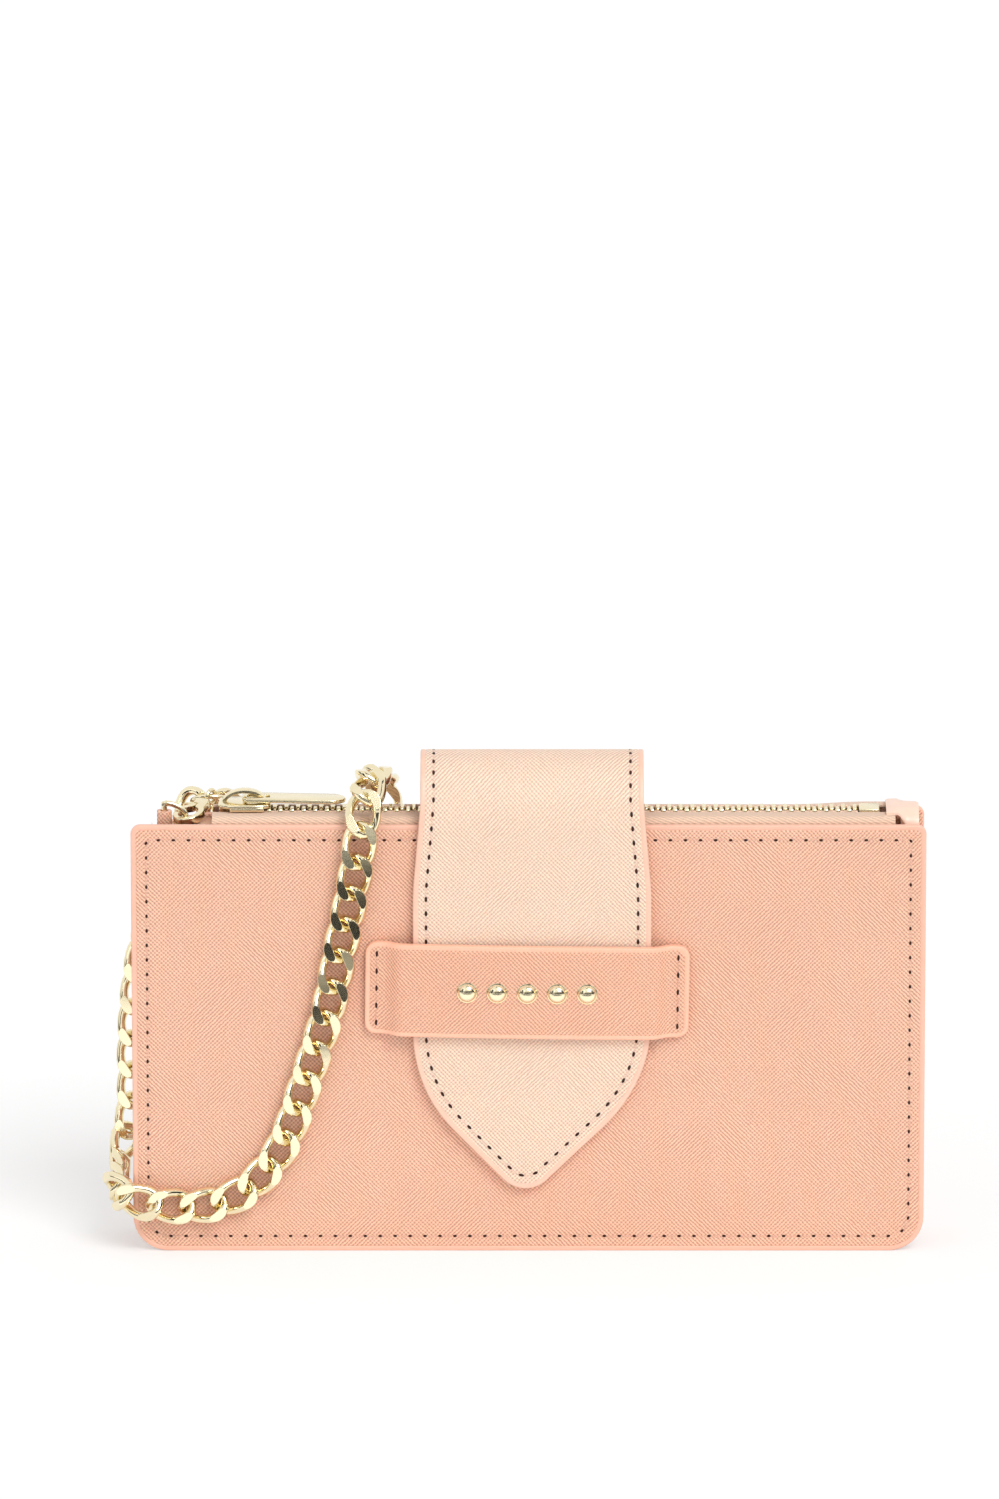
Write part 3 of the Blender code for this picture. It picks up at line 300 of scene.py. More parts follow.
def plain_pulp(name, colour, rough=0.9):
    """Pressed fibre, or the painted shade inside needle holes: matt and mottled."""
    made, tree, shader = new_material(name, Roughness=rough)
    if tree is None:
        return made
    place = add_node(tree, "ShaderNodeTexCoord").outputs["Object"]
    fibres = add_node(tree, "ShaderNodeTexNoise", {"Vector": place, "Scale": 500.0, "Detail": 4.0})
    two_shades(tree, shader, fibres.outputs["Fac"], shade_of(colour, 0.75), shade_of(colour, 1.15))
    relief(tree, shader, fibres.outputs["Fac"], 0.08 * MM)
    return made


def woven_lining(name, colour):
    """Lining twill seen inside. It carries no surface attribute, so its ribs run on Object coordinates."""
    made, tree, shader = new_material(name, Roughness=0.85, Sheen_Weight=0.2)
    if tree is None:
        return made
    place = add_node(tree, "ShaderNodeTexCoord").outputs["Object"]
    ribs = add_node(tree, "ShaderNodeTexWave", {"Vector": place, "Scale": 700.0, "Distortion": 0.5},
                    wave_type="BANDS", bands_direction="DIAGONAL").outputs["Fac"]
    # Painted shade darkens the troughs between the ribs.
    two_shades(tree, shader, ribs, shade_of(colour, 0.75), shade_of(colour, 1.08))
    relief(tree, shader, ribs, 0.08 * MM)
    return made


# ---------------------------------------------------------------- mesh helpers
class Shell:
    """Collects points with their place on the flat leather, and faces with their finish."""

    def __init__(self):
        self.points, self.places, self.faces, self.finish = [], [], [], []

    def row(self, points, places=None):
        """Adds points, given from MIDDLE, with their places on the flat leather, and gives their numbers."""
        start = len(self.points)
        self.points += [tuple(Vector(point) + MIDDLE) for point in points]
        self.places += [(*place[:2], 0.0) for place in (places or [(p[0], p[2]) for p in points])]
        return list(range(start, len(self.points)))

    def skin(self, rows, finish=0, around=False, closed=False):
        """Faces between rows of equal length. around joins a row's ends, closed the last row to the first."""
        pairs = list(zip(rows, rows[1:])) + ([(rows[-1], rows[0])] if closed else [])
        for k, (lower, upper) in enumerate(pairs):
            count = len(lower)
            for i in range(count if around else count - 1):
                j = (i + 1) % count
                self.faces.append((lower[i], lower[j], upper[j], upper[i]))
                self.finish.append(finish(k, i) if callable(finish) else finish)

    def cap(self, row):
        self.faces.append(tuple(row))
        self.finish.append(0)

    def solid(self, rows, finish=0):
        """Rings of points skinned from the first to the last, with both ends capped."""
        self.skin(rows, finish, around=True)
        self.cap(rows[0])
        self.cap(rows[-1])

    def slab(self, top, bottom, finish=0, edge=0):
        """A sheet with thickness: two grids of rows, joined along their four borders."""
        self.skin(top, finish)
        self.skin([list(reversed(row)) for row in bottom])
        for a, b in ((top[0], bottom[0]), (bottom[-1], top[-1])):
            self.skin([a, b], edge)
        for i in (0, -1):
            self.skin([[row[i] for row in top], [row[i] for row in bottom]], edge)

    def build(self, name, materials, smooth, weld=1e-6):
        """The mesh object: edges sharper than smooth degrees stay sharp."""
        mesh = bpy.data.meshes.new(name)
        mesh.from_pydata(self.points, [], self.faces)
        for made in materials:
            mesh.materials.append(made)
        mesh.polygons.foreach_set("material_index", self.finish)
        surface = mesh.attributes.new("surface", "FLOAT_VECTOR", "POINT")
        surface.data.foreach_set("vector", np.array(self.places, np.float32).ravel())
        return finish_mesh(name, mesh, smooth, weld)

    def pattern(self, name, finish, smooth, weld=1e-6):
        """A small piece for along_path to copy, kept out of the scene itself."""
        made = self.build(name, [finish], smooth, weld)
        bpy.context.scene.collection.objects.unlink(made)
        return made


def finish_mesh(name, mesh, smooth, weld):
    """Merges doubles, turns the faces outwards and smooths, and gives the object."""
    bm = bmesh.new()
    bm.from_mesh(mesh)
    bmesh.ops.remove_doubles(bm, verts=bm.verts, dist=weld)
    bmesh.ops.dissolve_degenerate(bm, edges=bm.edges, dist=weld)
    bmesh.ops.recalc_face_normals(bm, faces=bm.faces)
    bm.to_mesh(mesh)
    bm.free()
    mesh.shade_smooth()
    mesh.set_sharp_from_angle(angle=math.radians(smooth))
    made = bpy.data.objects.new(name, mesh)
    bpy.context.scene.collection.objects.link(made)
    return made


def full_turn(count, offset=0.0):
    """Angles evenly round a circle."""
    return [2 * math.pi * (k + offset) / count for k in range(count)]


def squarish(angle, power):
    """A place on a square with rounded corners: the lower the power, the squarer it is."""
    return [math.copysign(abs(part) ** power, part) for part in (math.cos(angle), math.sin(angle))]


def arc(centre, radius, start, end, steps):
    """Points round a circle, or round an ellipse where radius is a pair."""
    across, up = radius if isinstance(radius, tuple) else (radius, radius)
    angles = [start + (end - start) * i / steps for i in range(steps + 1)]
    return [(centre[0] + across * math.cos(a), centre[1] + up * math.sin(a)) for a in angles]


def rounded_rectangle(left, right, low, high, low_radius, high_radius, steps):
    """A rectangle's outline with rounded corners, from its lower right one round to its lower left one."""
    quarter = math.pi / 2
    corners = (
        ((right - low_radius, low + low_radius), low_radius, -quarter),
        ((right - high_radius, high - high_radius), high_radius, 0.0),
        ((left + high_radius, high - high_radius), high_radius, quarter),
        ((left + low_radius, low + low_radius), low_radius, 2 * quarter),
    )
    return [p for centre, radius, start in corners for p in arc(centre, radius, start, start + quarter, steps)]


def tube(shell, path, radius, sides, closed=True, flat=UP):
    """A round wire along a path; flat is the path's plane normal for a closed flat path."""
    rows = []
    count = len(path)
    normal = Vector(flat)
    for i, point in enumerate(path):
        ahead = path[(i + 1) % count] if closed else path[min(i + 1, count - 1)]
        behind = path[i - 1] if closed else path[max(i - 1, 0)]
        along = (Vector(ahead) - Vector(behind)).normalized()
        side = along.cross(normal).normalized()
        up = side.cross(along)
        rows.append(shell.row([Vector(point) + radius * (math.cos(angle) * side + math.sin(angle) * up)
                               for angle in full_turn(sides)]))
    if closed:
        shell.skin(rows, around=True, closed=True)
    else:
        shell.solid(rows)


def solid_prism(name, outline, place, low, high, materials, bevel, segments=3, holes=()):
    """A flat outline extruded from low to high, cut by holes, with rounded edges."""
    smooth = 35

    def extruded(points, bottom, top, piece_name):
        shell = Shell()
        shell.solid([shell.row([place(a, b, level) for a, b in points]) for level in (bottom, top)])
        return shell.build(piece_name, materials, smooth)

    made = extruded(outline, low, high, name)
    for number, hole in enumerate(holes):
        cut(made, extruded(hole, low - 1 * MM, high + 1 * MM, f"{name}_cutter_{number}"))
    rounding = made.modifiers.new("rounding", "BEVEL")
    rounding.width = bevel
    rounding.segments = segments
    rounding.limit_method = "ANGLE"
    rounding.angle_limit = math.radians(40)
    rounding.harden_normals = False
    return bake(made, smooth)


def cut(made, cutter):
    """Takes the cutter's form out of a piece, and the cutter away."""
    change = made.modifiers.new("cut", "BOOLEAN")
    change.operation = "DIFFERENCE"
    change.object = cutter
    change.solver = "EXACT"
    bake(made, None)
    bpy.data.objects.remove(cutter, do_unlink=True)


def bake(made, smooth):
    """Turns the object's modifiers into plain mesh."""
    graph = bpy.context.evaluated_depsgraph_get()
    mesh = bpy.data.meshes.new_from_object(made.evaluated_get(graph))
    made.modifiers.clear()
    made.data = mesh
    if smooth is not None:
        mesh.shade_smooth()
        mesh.set_sharp_from_angle(angle=math.radians(smooth))
    return made


def joined(name, parts):
    """One object from several, with the first one's materials."""
    bm = bmesh.new()
    for part in parts:
        bm.from_mesh(part.data)
    mesh = bpy.data.meshes.new(name)
    bm.to_mesh(mesh)
    bm.free()
    for made in parts[0].data.materials:
        mesh.materials.append(made)
    for part in parts:
        bpy.data.objects.remove(part, do_unlink=True)
    mesh.shade_smooth()
    mesh.set_sharp_from_angle(angle=math.radians(40))
    made = bpy.data.objects.new(name, mesh)
    bpy.context.scene.collection.objects.link(made)
    return made


def facing_z(a, b, level):
    """A place for solid_prism, whose outline then lies flat."""
    return Vector((a, b, level))


def smooth_step(value):
    """0 below 0, 1 above 1, and a soft rise between."""
    value = min(max(value, 0.0), 1.0)
    return value * value * (3 - 2 * value)


def running_lengths(points):
    """How far along its line each point lies."""
    runs = [0.0]
    for a, b in zip(points, points[1:]):
        runs.append(runs[-1] + math.dist(a, b))
    return runs


def distances(points, line):
    """How far each point lies from a line, in a plane."""
    starts, runs = line[:-1], line[1:] - line[:-1]
    squares = np.maximum((runs ** 2).sum(1), 1e-18)
    offsets = np.array(points)[:, None, :] - starts[None]
    share = np.clip((offsets * runs[None]).sum(2) / squares[None], 0, 1)
    return np.sqrt(((offsets - share[..., None] * runs[None]) ** 2).sum(2)).min(1)


def box_from_middle(node):
    """The CAD node's box, seen from MIDDLE."""
    low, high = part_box(node)
    return low - MIDDLE, high - MIDDLE


def settle(made, body, slot, *nodes):
    """The piece rides on its body and stands for its CAD nodes, which it hides. slot is not used."""
    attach(made, body)
    if nodes:
        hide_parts(*nodes)
    return made


# ---------------------------------------------------------------- repeats along a path, by Geometry Nodes
# The pitch is a hair short, so that rounding never drops the last copy from a path.
SNUG = 0.9999


def path_tree():
    """Sets copies of one small piece along a path, its own X along the path and its own Z along "out"."""
    tree = bpy.data.node_groups.get("pieces along a path")
    if tree:
        return tree
    tree = bpy.data.node_groups.new("pieces along a path", "GeometryNodeTree")
    face = tree.interface
    face.new_socket("Geometry", in_out="INPUT", socket_type="NodeSocketGeometry")
    for name, kind, default in (
        ("Piece", "NodeSocketObject", None), ("Pitch", "NodeSocketFloat", 0.0034),
        ("Unevenness", "NodeSocketFloat", 0.0), ("Seed", "NodeSocketInt", 1),
        ("Finish", "NodeSocketMaterial", None),
    ):
        socket = face.new_socket(name, in_out="INPUT", socket_type=kind)
        if default is not None:
            socket.default_value = default
    face.new_socket("Geometry", in_out="OUTPUT", socket_type="NodeSocketGeometry")
    given = tree.nodes.new("NodeGroupInput")
    curve = add_node(tree, "GeometryNodeMeshToCurve", {"Mesh": given.outputs["Geometry"]})
    even = add_node(tree, "GeometryNodeResampleCurve",
                    {"Curve": curve.outputs[0], "Length": given.outputs["Pitch"]}, mode="LENGTH")
    out = add_node(tree, "GeometryNodeInputNamedAttribute", {"Name": "out"}, data_type="FLOAT_VECTOR")
    along = tree.nodes.new("GeometryNodeInputTangent")
    turn = add_node(tree, "FunctionNodeAxesToRotation",
                    {0: out.outputs["Attribute"], 1: along.outputs[0]}, primary_axis="Z", secondary_axis="X")
    shake = add_node(tree, "FunctionNodeRandomValue",
                     {"Min": (-1.0, -1.0, -1.0), "Max": (1.0, 1.0, 1.0), "Seed": given.outputs["Seed"]},
                     data_type="FLOAT_VECTOR")
    scaled = add_node(tree, "ShaderNodeVectorMath", {0: shake.outputs[0], 3: given.outputs["Unevenness"]},
                      operation="SCALE")
    jitter = add_node(tree, "FunctionNodeEulerToRotation", {0: scaled.outputs[0]})
    turned = add_node(tree, "FunctionNodeRotateRotation",
                      {0: turn.outputs[0], 1: jitter.outputs[0]}, rotation_space="LOCAL")
    piece = add_node(tree, "GeometryNodeObjectInfo", {"Object": given.outputs["Piece"]},
                     transform_space="ORIGINAL")
    copies = add_node(tree, "GeometryNodeInstanceOnPoints",
                      {"Points": even.outputs[0], "Instance": piece.outputs["Geometry"],
                       "Rotation": turned.outputs[0]})
    real = add_node(tree, "GeometryNodeRealizeInstances", {0: copies.outputs[0]})
    dressed = add_node(tree, "GeometryNodeSetMaterial",
                       {"Geometry": real.outputs[0], "Material": given.outputs["Finish"]})
    final = tree.nodes.new("NodeGroupOutput")
    tree.links.new(dressed.outputs[0], final.inputs[0])
    return tree


def along_path(name, path, piece, pitch, finish, unevenness=0.0, seed=1, smooth=40):
    """Copies of piece along a path of (point, out) pairs, as one plain mesh."""
    mesh = bpy.data.meshes.new(name)
    points = [tuple(Vector(point) + MIDDLE) for point, _ in path]
    outs = [tuple(Vector(out)) for _, out in path]
    mesh.from_pydata(points, [(i, i + 1) for i in range(len(points) - 1)], [])
    attribute = mesh.attributes.new("out", "FLOAT_VECTOR", "POINT")
    attribute.data.foreach_set("vector", np.array(outs, np.float32).ravel())
    made = bpy.data.objects.new(name, mesh)
    bpy.context.scene.collection.objects.link(made)
    change = made.modifiers.new("copies", "NODES")
    change.node_group = path_tree()
    values = {"Piece": piece, "Pitch": pitch, "Unevenness": unevenness, "Seed": seed, "Finish": finish}
    for item in change.node_group.interface.items_tree:
        if item.in_out == "INPUT" and item.name in values:
            change[item.identifier] = values[item.name]
    made = bake(made, smooth)
    if len(made.data.materials) == 0:
        made.data.materials.append(finish)
    return made


def stitch_piece(length, radius, finish):
    """One stitch: thread that dips into the leather at both ends. It lies along X and shows above Z 0."""
    shell = Shell()
    rows = []
    for share in (-1.0, -0.86, -0.55, -0.2, 0.2, 0.55, 0.86, 1.0):
        x = share * length / 2
        sink = -radius * (0.25 + 1.1 * abs(share) ** 4)
        wide = radius * (1.0 - 0.35 * abs(share) ** 3)
        rows.append(shell.row([
            Vector((x, wide * math.cos(a), sink + wide * math.sin(a))) - MIDDLE for a in full_turn(6)]))
    shell.solid(rows)
    return shell.pattern("stitch_pattern", finish, 60)


def hole_piece(length, width, finish):
    """One needle hole: a shallow oval of painted shade, just above the leather."""
    shell = Shell()
    shell.solid([
        shell.row([Vector((share * length / 2 * math.cos(a), share * width / 2 * math.sin(a), level)) - MIDDLE
                   for a in full_turn(10)])
        for share, level in ((1.0, -0.05 * MM), (0.9, 0.05 * MM))])
    return shell.pattern("hole_pattern", finish, 60)


def sew(name, paths, pitch, thread, hole_size, body, slot, seed):
    """Rows of stitches and their needle holes."""
    colours = bpy.context.scene.wallet_colours
    # The needle holes are dark ovals of painted shade.
    hole = plain_pulp("needle_hole_painted_shade", colours.hole, 0.95)
    stitch = stitch_piece(pitch * 0.80, 0.24 * MM, thread)
    dot = hole_piece(*hole_size, hole)
    starts, middles = [], []
    for path in paths:
        length = sum((Vector(b) - Vector(a)).length for (a, _), (b, _) in zip(path, path[1:]))
        step = length / round(length / pitch)
        middles.append((trim_path(path, step / 2, step / 2), step))
        starts.append((trim_path(path, 0.0, step if path[0][0] == path[-1][0] else 0.0), step))
    threads = joined(name + "_thread", [
        along_path(f"{name}_thread_{k}", path, stitch, step * SNUG, thread, unevenness=0.05, seed=seed + k)
        for k, (path, step) in enumerate(middles)])
    holes = joined(name + "_holes", [
        along_path(f"{name}_holes_{k}", path, dot, step * SNUG, hole, unevenness=0.03, seed=seed + k)
        for k, (path, step) in enumerate(starts)])
    for made in (threads, holes):
        settle(made, body, slot)


def trim_path(path, first, last):
    """The path without a stretch at its start and at its end."""
    for offset in (first, last):
        left = offset
        for i, ((a, out_a), (b, _)) in enumerate(zip(path, path[1:])):
            length = (Vector(b) - Vector(a)).length
            if length > left:
                path = [(Vector(a).lerp(Vector(b), left / length), out_a)] + path[i + 1:]
                break
            left -= length
        path = path[::-1]
    return path


# ---------------------------------------------------------------- case
BOTTOM_RADIUS = 8 * MM
TOP_RADIUS = 2.2 * MM


def panel_outline(inset):
    """A panel's outline, inset from its edge: square above, and with rounder corners below."""
    half = WIDTH / 2
    corners = rounded_rectangle(
        -half + inset, half - inset, inset, HEIGHT - inset,
        max(BOTTOM_RADIUS - inset, 0.4 * MM), max(TOP_RADIUS - inset, 0.3 * MM), 12)
    # Stations along the straight sides too, so that an edge can sag.
    outline = []
    for a, b in zip(corners, corners[1:] + corners[:1]):
        outline.append(a)
        if math.dist(a, b) > 20 * MM:
            outline += [(a[0] + (b[0] - a[0]) * i / 24, a[1] + (b[1] - a[1]) * i / 24) for i in range(1, 24)]
    return outline


def back_dip(x, z, sign=1):
    """How far the back panel's soft top edge sags, most of all at its left corner. The front's doesn't."""
    if sign < 0:
        return 0.0
    sag = 1.7 * MM * (1 - smooth_step((x - 45 * MM) / (35 * MM)))
    sag += 4.2 * MM * smooth_step((-74 * MM - x) / (16 * MM))
    return sag * smooth_step((z - 80 * MM) / (20 * MM))


class WALLET_OT_panels(bpy.types.Operator):
    """Front and back panels with a rounded painted rim, a crease inside it and a shallow stitching channel"""

    bl_idname = "wallet.panels"
    bl_label = "Panels"

    def execute(self, context):
        sizes, colours = context.scene.wallet_sizes, context.scene.wallet_colours
        leather = saffiano("pink_saffiano_leather", colours.panel, sizes)
        paint = edge_paint("pink_edge_paint", colours.rim)
        rim, inset = sizes.rim, sizes.stitch_inset
        # Inset from the edge and height below the outer face, from the inner face round the rim.
        profile = [
            (1.6 * MM, PANEL_THICKNESS), (0.35 * MM, PANEL_THICKNESS), (0.0, PANEL_THICKNESS - 0.35 * MM),
            (0.0, 0.5 * MM), (0.06 * MM, 0.26 * MM), (0.2 * MM, 0.09 * MM), (0.42 * MM, 0.01 * MM),
            (0.7 * MM, 0.0), (rim - 0.12 * MM, 0.04 * MM), (rim, 0.15 * MM), (rim + 0.14 * MM, 0.05 * MM),
            (rim + 0.5 * MM, 0.0), (inset - 0.75 * MM, 0.0), (inset - 0.35 * MM, 0.08 * MM),
            (inset, 0.13 * MM), (inset + 0.35 * MM, 0.08 * MM), (inset + 0.8 * MM, 0.0),
            (inset + 1.6 * MM, 0.0),
        ]
        for side, sign in (("front", -1), ("back", 1)):
            shell = Shell()
            rows = []
            for depth, below in profile:
                rows.append(shell.row([(x, sign * (BACK - below), z - back_dip(x, z, sign))
                                       for x, z in panel_outline(depth)]))
            # The edge paint reaches from the second to the tenth place of the profile.
            shell.solid(rows, lambda k, i: 1 if 1 <= k <= 8 else 0)
            made = shell.build(f"{side}_panel_leather", [leather, paint], 50)
            settle(made, "case", "pink_leather", f"{side}_panel")
        return {"FINISHED"}


class WALLET_OT_panel_stitches(bpy.types.Operator):
    """The stitching round both panels, with dark needle holes"""

    bl_idname = "wallet.panel_stitches"
    bl_label = "Panel stitches"

    def execute(self, context):
        sizes, colours = context.scene.wallet_sizes, context.scene.wallet_colours
        thread = sewing_thread("pink_sewing_thread", colours.thread)
        for side, sign, seed in (("front", -1, 3), ("back", 1, 5)):
            y = sign * (BACK - 0.10 * MM)
            path = [(Vector((x, y, z - back_dip(x, z, sign))), (0, sign, 0))
                    for x, z in panel_outline(sizes.stitch_inset)]
            sew(f"{side}_panel_stitch", [path + path[:1]], sizes.stitch_pitch, thread,
                (0.95 * MM, 0.66 * MM), "case", "pink_leather", seed)
        return {"FINISHED"}


class WALLET_OT_gusset(bpy.types.Operator):
    """The gusset that joins the panels round the sides and the bottom, folded inwards"""

    bl_idname = "wallet.gusset"
    bl_label = "Gusset"

    def execute(self, context):
        sizes, colours = context.scene.wallet_sizes, context.scene.wallet_colours
        leather = saffiano("pink_saffiano_leather", colours.panel, sizes)
        edge = BACK - PANEL_THICKNESS - GAP
        inner = edge - 1.0 * MM
        # Millimetres in from the panels' edge, and place between the panels: a U with soft bends and a
        # creased floor, from the front panel to the back one and back along its inner side.
        section = [(0.6, -edge), (0.6, -inner), (3.4, -inner), (4.0, -inner + 0.12 * MM),
                   (4.4, -inner + 0.6 * MM), (4.5, -inner + 1.4 * MM), (4.5, -2.0 * MM), (4.62, -0.7 * MM)]
        section += [(4.75, 0.0)] + [(inset, -y) for inset, y in reversed(section)]
        section += [(5.0, edge), (5.5, edge - 0.5 * MM), (5.5, -edge + 0.5 * MM), (5.0, -edge)]
        half = WIDTH / 2
        top = HEIGHT - TOP_RADIUS
        path = [((-half, top - (top - BOTTOM_RADIUS) * i / 12), (-1.0, 0.0)) for i in range(12)]
        for centre_x, start in ((-half + BOTTOM_RADIUS, math.pi), (half - BOTTOM_RADIUS, 1.5 * math.pi)):
            for i in range(13):
                a = start + math.pi / 2 * i / 12
                outward = (math.cos(a), math.sin(a))
                point = (centre_x + BOTTOM_RADIUS * outward[0], BOTTOM_RADIUS + BOTTOM_RADIUS * outward[1])
                path.append((point, outward))
        path += [((half, BOTTOM_RADIUS + (top - BOTTOM_RADIUS) * i / 12), (1.0, 0.0)) for i in range(1, 13)]
        shell = Shell()
        rows = []
        for (point, normal), run in zip(path, running_lengths([point for point, _ in path])):
            ring = []
            for inset, y in section:
                x, z = point[0] - normal[0] * inset * MM, point[1] - normal[1] * inset * MM
                ring.append((x, y, z - back_dip(x, z) * smooth_step((y - 2 * MM) / (5 * MM))))
            rows.append(shell.row(ring, [(run, y + inset * MM) for inset, y in section]))
        shell.solid(rows)
        settle(shell.build("gusset_leather", [leather], 50), "case", "pink_leather", "gusset")
        return {"FINISHED"}


class WALLET_OT_inside(bpy.types.Operator):
    """Cloth linings, card pocket and boards, which keep their CAD shapes"""

    bl_idname = "wallet.inside"
    bl_label = "Inside"

    def execute(self, context):
        colours = context.scene.wallet_colours
        cloth = woven_lining("lining_twill", colours.lining)
        board = plain_pulp("grey_fibre_board", colours.board)
        for name, made in (("front_lining", cloth), ("back_lining", cloth), ("card_pocket", cloth),
                           ("front_stiffener", board), ("back_stiffener", board)):
            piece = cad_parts[name]
            piece.data.materials.clear()
            piece.data.materials.append(made)
        return {"FINISHED"}


# ---------------------------------------------------------------- zip
ZIP_RISE = 1.2 * MM
ZIP_Z = HEIGHT + ZIP_RISE
ZIP_LEFT = -WIDTH / 2 + 22.5 * MM
ZIP_RIGHT = WIDTH / 2 - 15.4 * MM
TAPE_LEFT = -WIDTH / 2 + 18.4 * MM
TAPE_RIGHT = WIDTH / 2 - 7 * MM
TAPE_THICKNESS = 0.4 * MM
TAPE_TURN = 1.2 * MM
TOOTH_ROOT = 2.1 * MM
BEAD_OUTER = 3.0 * MM
TOOTH_HEIGHT = 1.6 * MM
STOP_LENGTH = 4.6 * MM
SLIDER_HALF, SLIDER_POST, SLIDER_PLATE = 6 * MM, 2.2 * MM, 0.9 * MM
SLIDER_X = ZIP_LEFT - GAP - SLIDER_POST - GAP + SLIDER_HALF
SLIDER_TOP = ZIP_Z + TOOTH_HEIGHT / 2 + GAP + SLIDER_PLATE
FLANGE_Y, FLANGE_HALF, FLANGE_SINK = 3.9 * MM, 0.6 * MM, 0.4 * MM
BRIDGE_REACH, BRIDGE_RISE, BRIDGE_SINK, BRIDGE_BAR = 5.3 * MM, 3.0 * MM, 0.45 * MM, 0.55 * MM


class WALLET_OT_zip_tapes(bpy.types.Operator):
    """Both woven tapes, folded over the top of the lining, and the corded bead that holds the teeth"""

    bl_idname = "wallet.zip_tapes"
    bl_label = "Zip tapes"

    def execute(self, context):
        colours = context.scene.wallet_colours
        cloth = twill("zip_tape_twill", colours.tape, 0.62 * MM)
        layer = BACK - PANEL_THICKNESS - GAP - TAPE_THICKNESS / 2
        bend = [(layer, HEIGHT - 7 * MM), (layer, HEIGHT - 3 * MM), (layer, HEIGHT - 1.0 * MM)]
        bend += arc((layer - TAPE_TURN * 1.15, ZIP_Z - TAPE_TURN * 1.5), (TAPE_TURN * 1.15, TAPE_TURN * 1.5),
                    0.12 * math.pi, 0.5 * math.pi, 6)
        bend += [(5.2 * MM, ZIP_Z), (4.2 * MM, ZIP_Z), (BEAD_OUTER + 0.15 * MM, ZIP_Z)]
        columns = 60
        for side, sign in (("front", -1), ("back", 1)):
            shell = Shell()
            upper, lower = [], []
            for n, ((y, z), length) in enumerate(zip(bend, running_lengths(bend))):
                before, after = bend[max(n - 1, 0)], bend[min(n + 1, len(bend) - 1)]
                run = Vector((after[0] - before[0], after[1] - before[1])).normalized()
                rows = []
                for offset in (0.5, -0.5):
                    points = []
                    for i in range(columns + 1):
                        x = TAPE_LEFT + (TAPE_RIGHT - TAPE_LEFT) * i / columns
                        # The tape ripples a little between its seams.
                        ripple = 0.10 * MM * math.sin(x * 190 + sign) * math.sin(math.pi * n / (len(bend) - 1))
                        dip = back_dip(x, z, sign) * smooth_step((y - 4.2 * MM) / (3 * MM))
                        points.append((x, sign * (y + run[1] * TAPE_THICKNESS * offset),
                                       z - run[0] * TAPE_THICKNESS * offset + ripple - dip))
                    rows.append(shell.row(points, [(p[0], length) for p in points]))
                upper.append(rows[0])
                lower.append(rows[1])
            shell.slab(upper, lower)
            cord_y = sign * (TOOTH_ROOT + BEAD_OUTER) / 2
            tube(shell, [(ZIP_LEFT + (ZIP_RIGHT - ZIP_LEFT) * i / 40, cord_y, ZIP_Z) for i in range(41)],
                 0.42 * MM, 8, closed=False)
            settle(shell.build(f"zip_tape_{side}_twill", [cloth], 50), "case", "zip_tape", f"zip_tape_{side}")
        return {"FINISHED"}


def tooth_piece(finish):
    """One tooth: legs that grip the tape's bead, a narrower head and a rounded tip. X runs along the zip."""
    shell = Shell()
    rows = []
    # Place across the zip, half its width along the zip, and half its height.
    for y, wide, tall in (
        (2.95, 0.40, 0.45), (2.8, 0.56, 0.68), (2.1, 0.60, 0.80), (1.3, 0.54, 0.74), (0.5, 0.50, 0.72),
        (-0.5, 0.52, 0.72), (-0.95, 0.44, 0.56), (-1.1, 0.26, 0.34),
    ):
        ring = [squarish(angle, 0.55) for angle in full_turn(8, 0.5)]
        rows.append(shell.row([Vector((wide * a * MM, y * MM, tall * b * MM)) - MIDDLE for a, b in ring]))
    shell.solid(rows)
    return shell.pattern("tooth_pattern", finish, 40)


class WALLET_OT_zip_teeth(bpy.types.Operator):
    """The metal teeth of both tapes and the stop at the zip's end"""

    bl_idname = "wallet.zip_teeth"
    bl_label = "Zip teeth"

    def execute(self, context):
        sizes, colours = context.scene.wallet_sizes, context.scene.wallet_colours
        metal = plated_gold("zip_tooth_brass", colours.gold, 0.24)
        tooth = tooth_piece(metal)
        wide = 0.95 * MM
        for side, sign, first in (("front", -1, 0.0), ("back", 1, sizes.tooth_pitch / 2)):
            start = ZIP_LEFT + GAP + first + wide / 2
            count = int((ZIP_RIGHT - start - wide / 2) / sizes.tooth_pitch + 1e-6)
            end = start + count * sizes.tooth_pitch
            # Walking the front tape from right to left turns its teeth to face the back ones.
            ends = (start, end) if sign > 0 else (end, start)
            path = [(Vector((x, 0, ZIP_Z)), (0, 0, 1)) for x in ends]
            made = along_path(f"zip_teeth_{side}_metal", path, tooth, sizes.tooth_pitch * SNUG, metal, seed=7)
            settle(made, "case", "zip_metal", f"zip_teeth_{side}")
        left = ZIP_RIGHT + GAP
        plan = rounded_rectangle(left, left + STOP_LENGTH, -BEAD_OUTER, BEAD_OUTER, 0.5 * MM, 0.5 * MM, 3)
        stop = solid_prism("zip_stop_metal", plan, facing_z, ZIP_Z - TOOTH_HEIGHT / 2, ZIP_Z + TOOTH_HEIGHT / 2,
                           [metal], 0.25 * MM)
        settle(stop, "case", "zip_metal", "zip_bottom_stop")
        return {"FINISHED"}


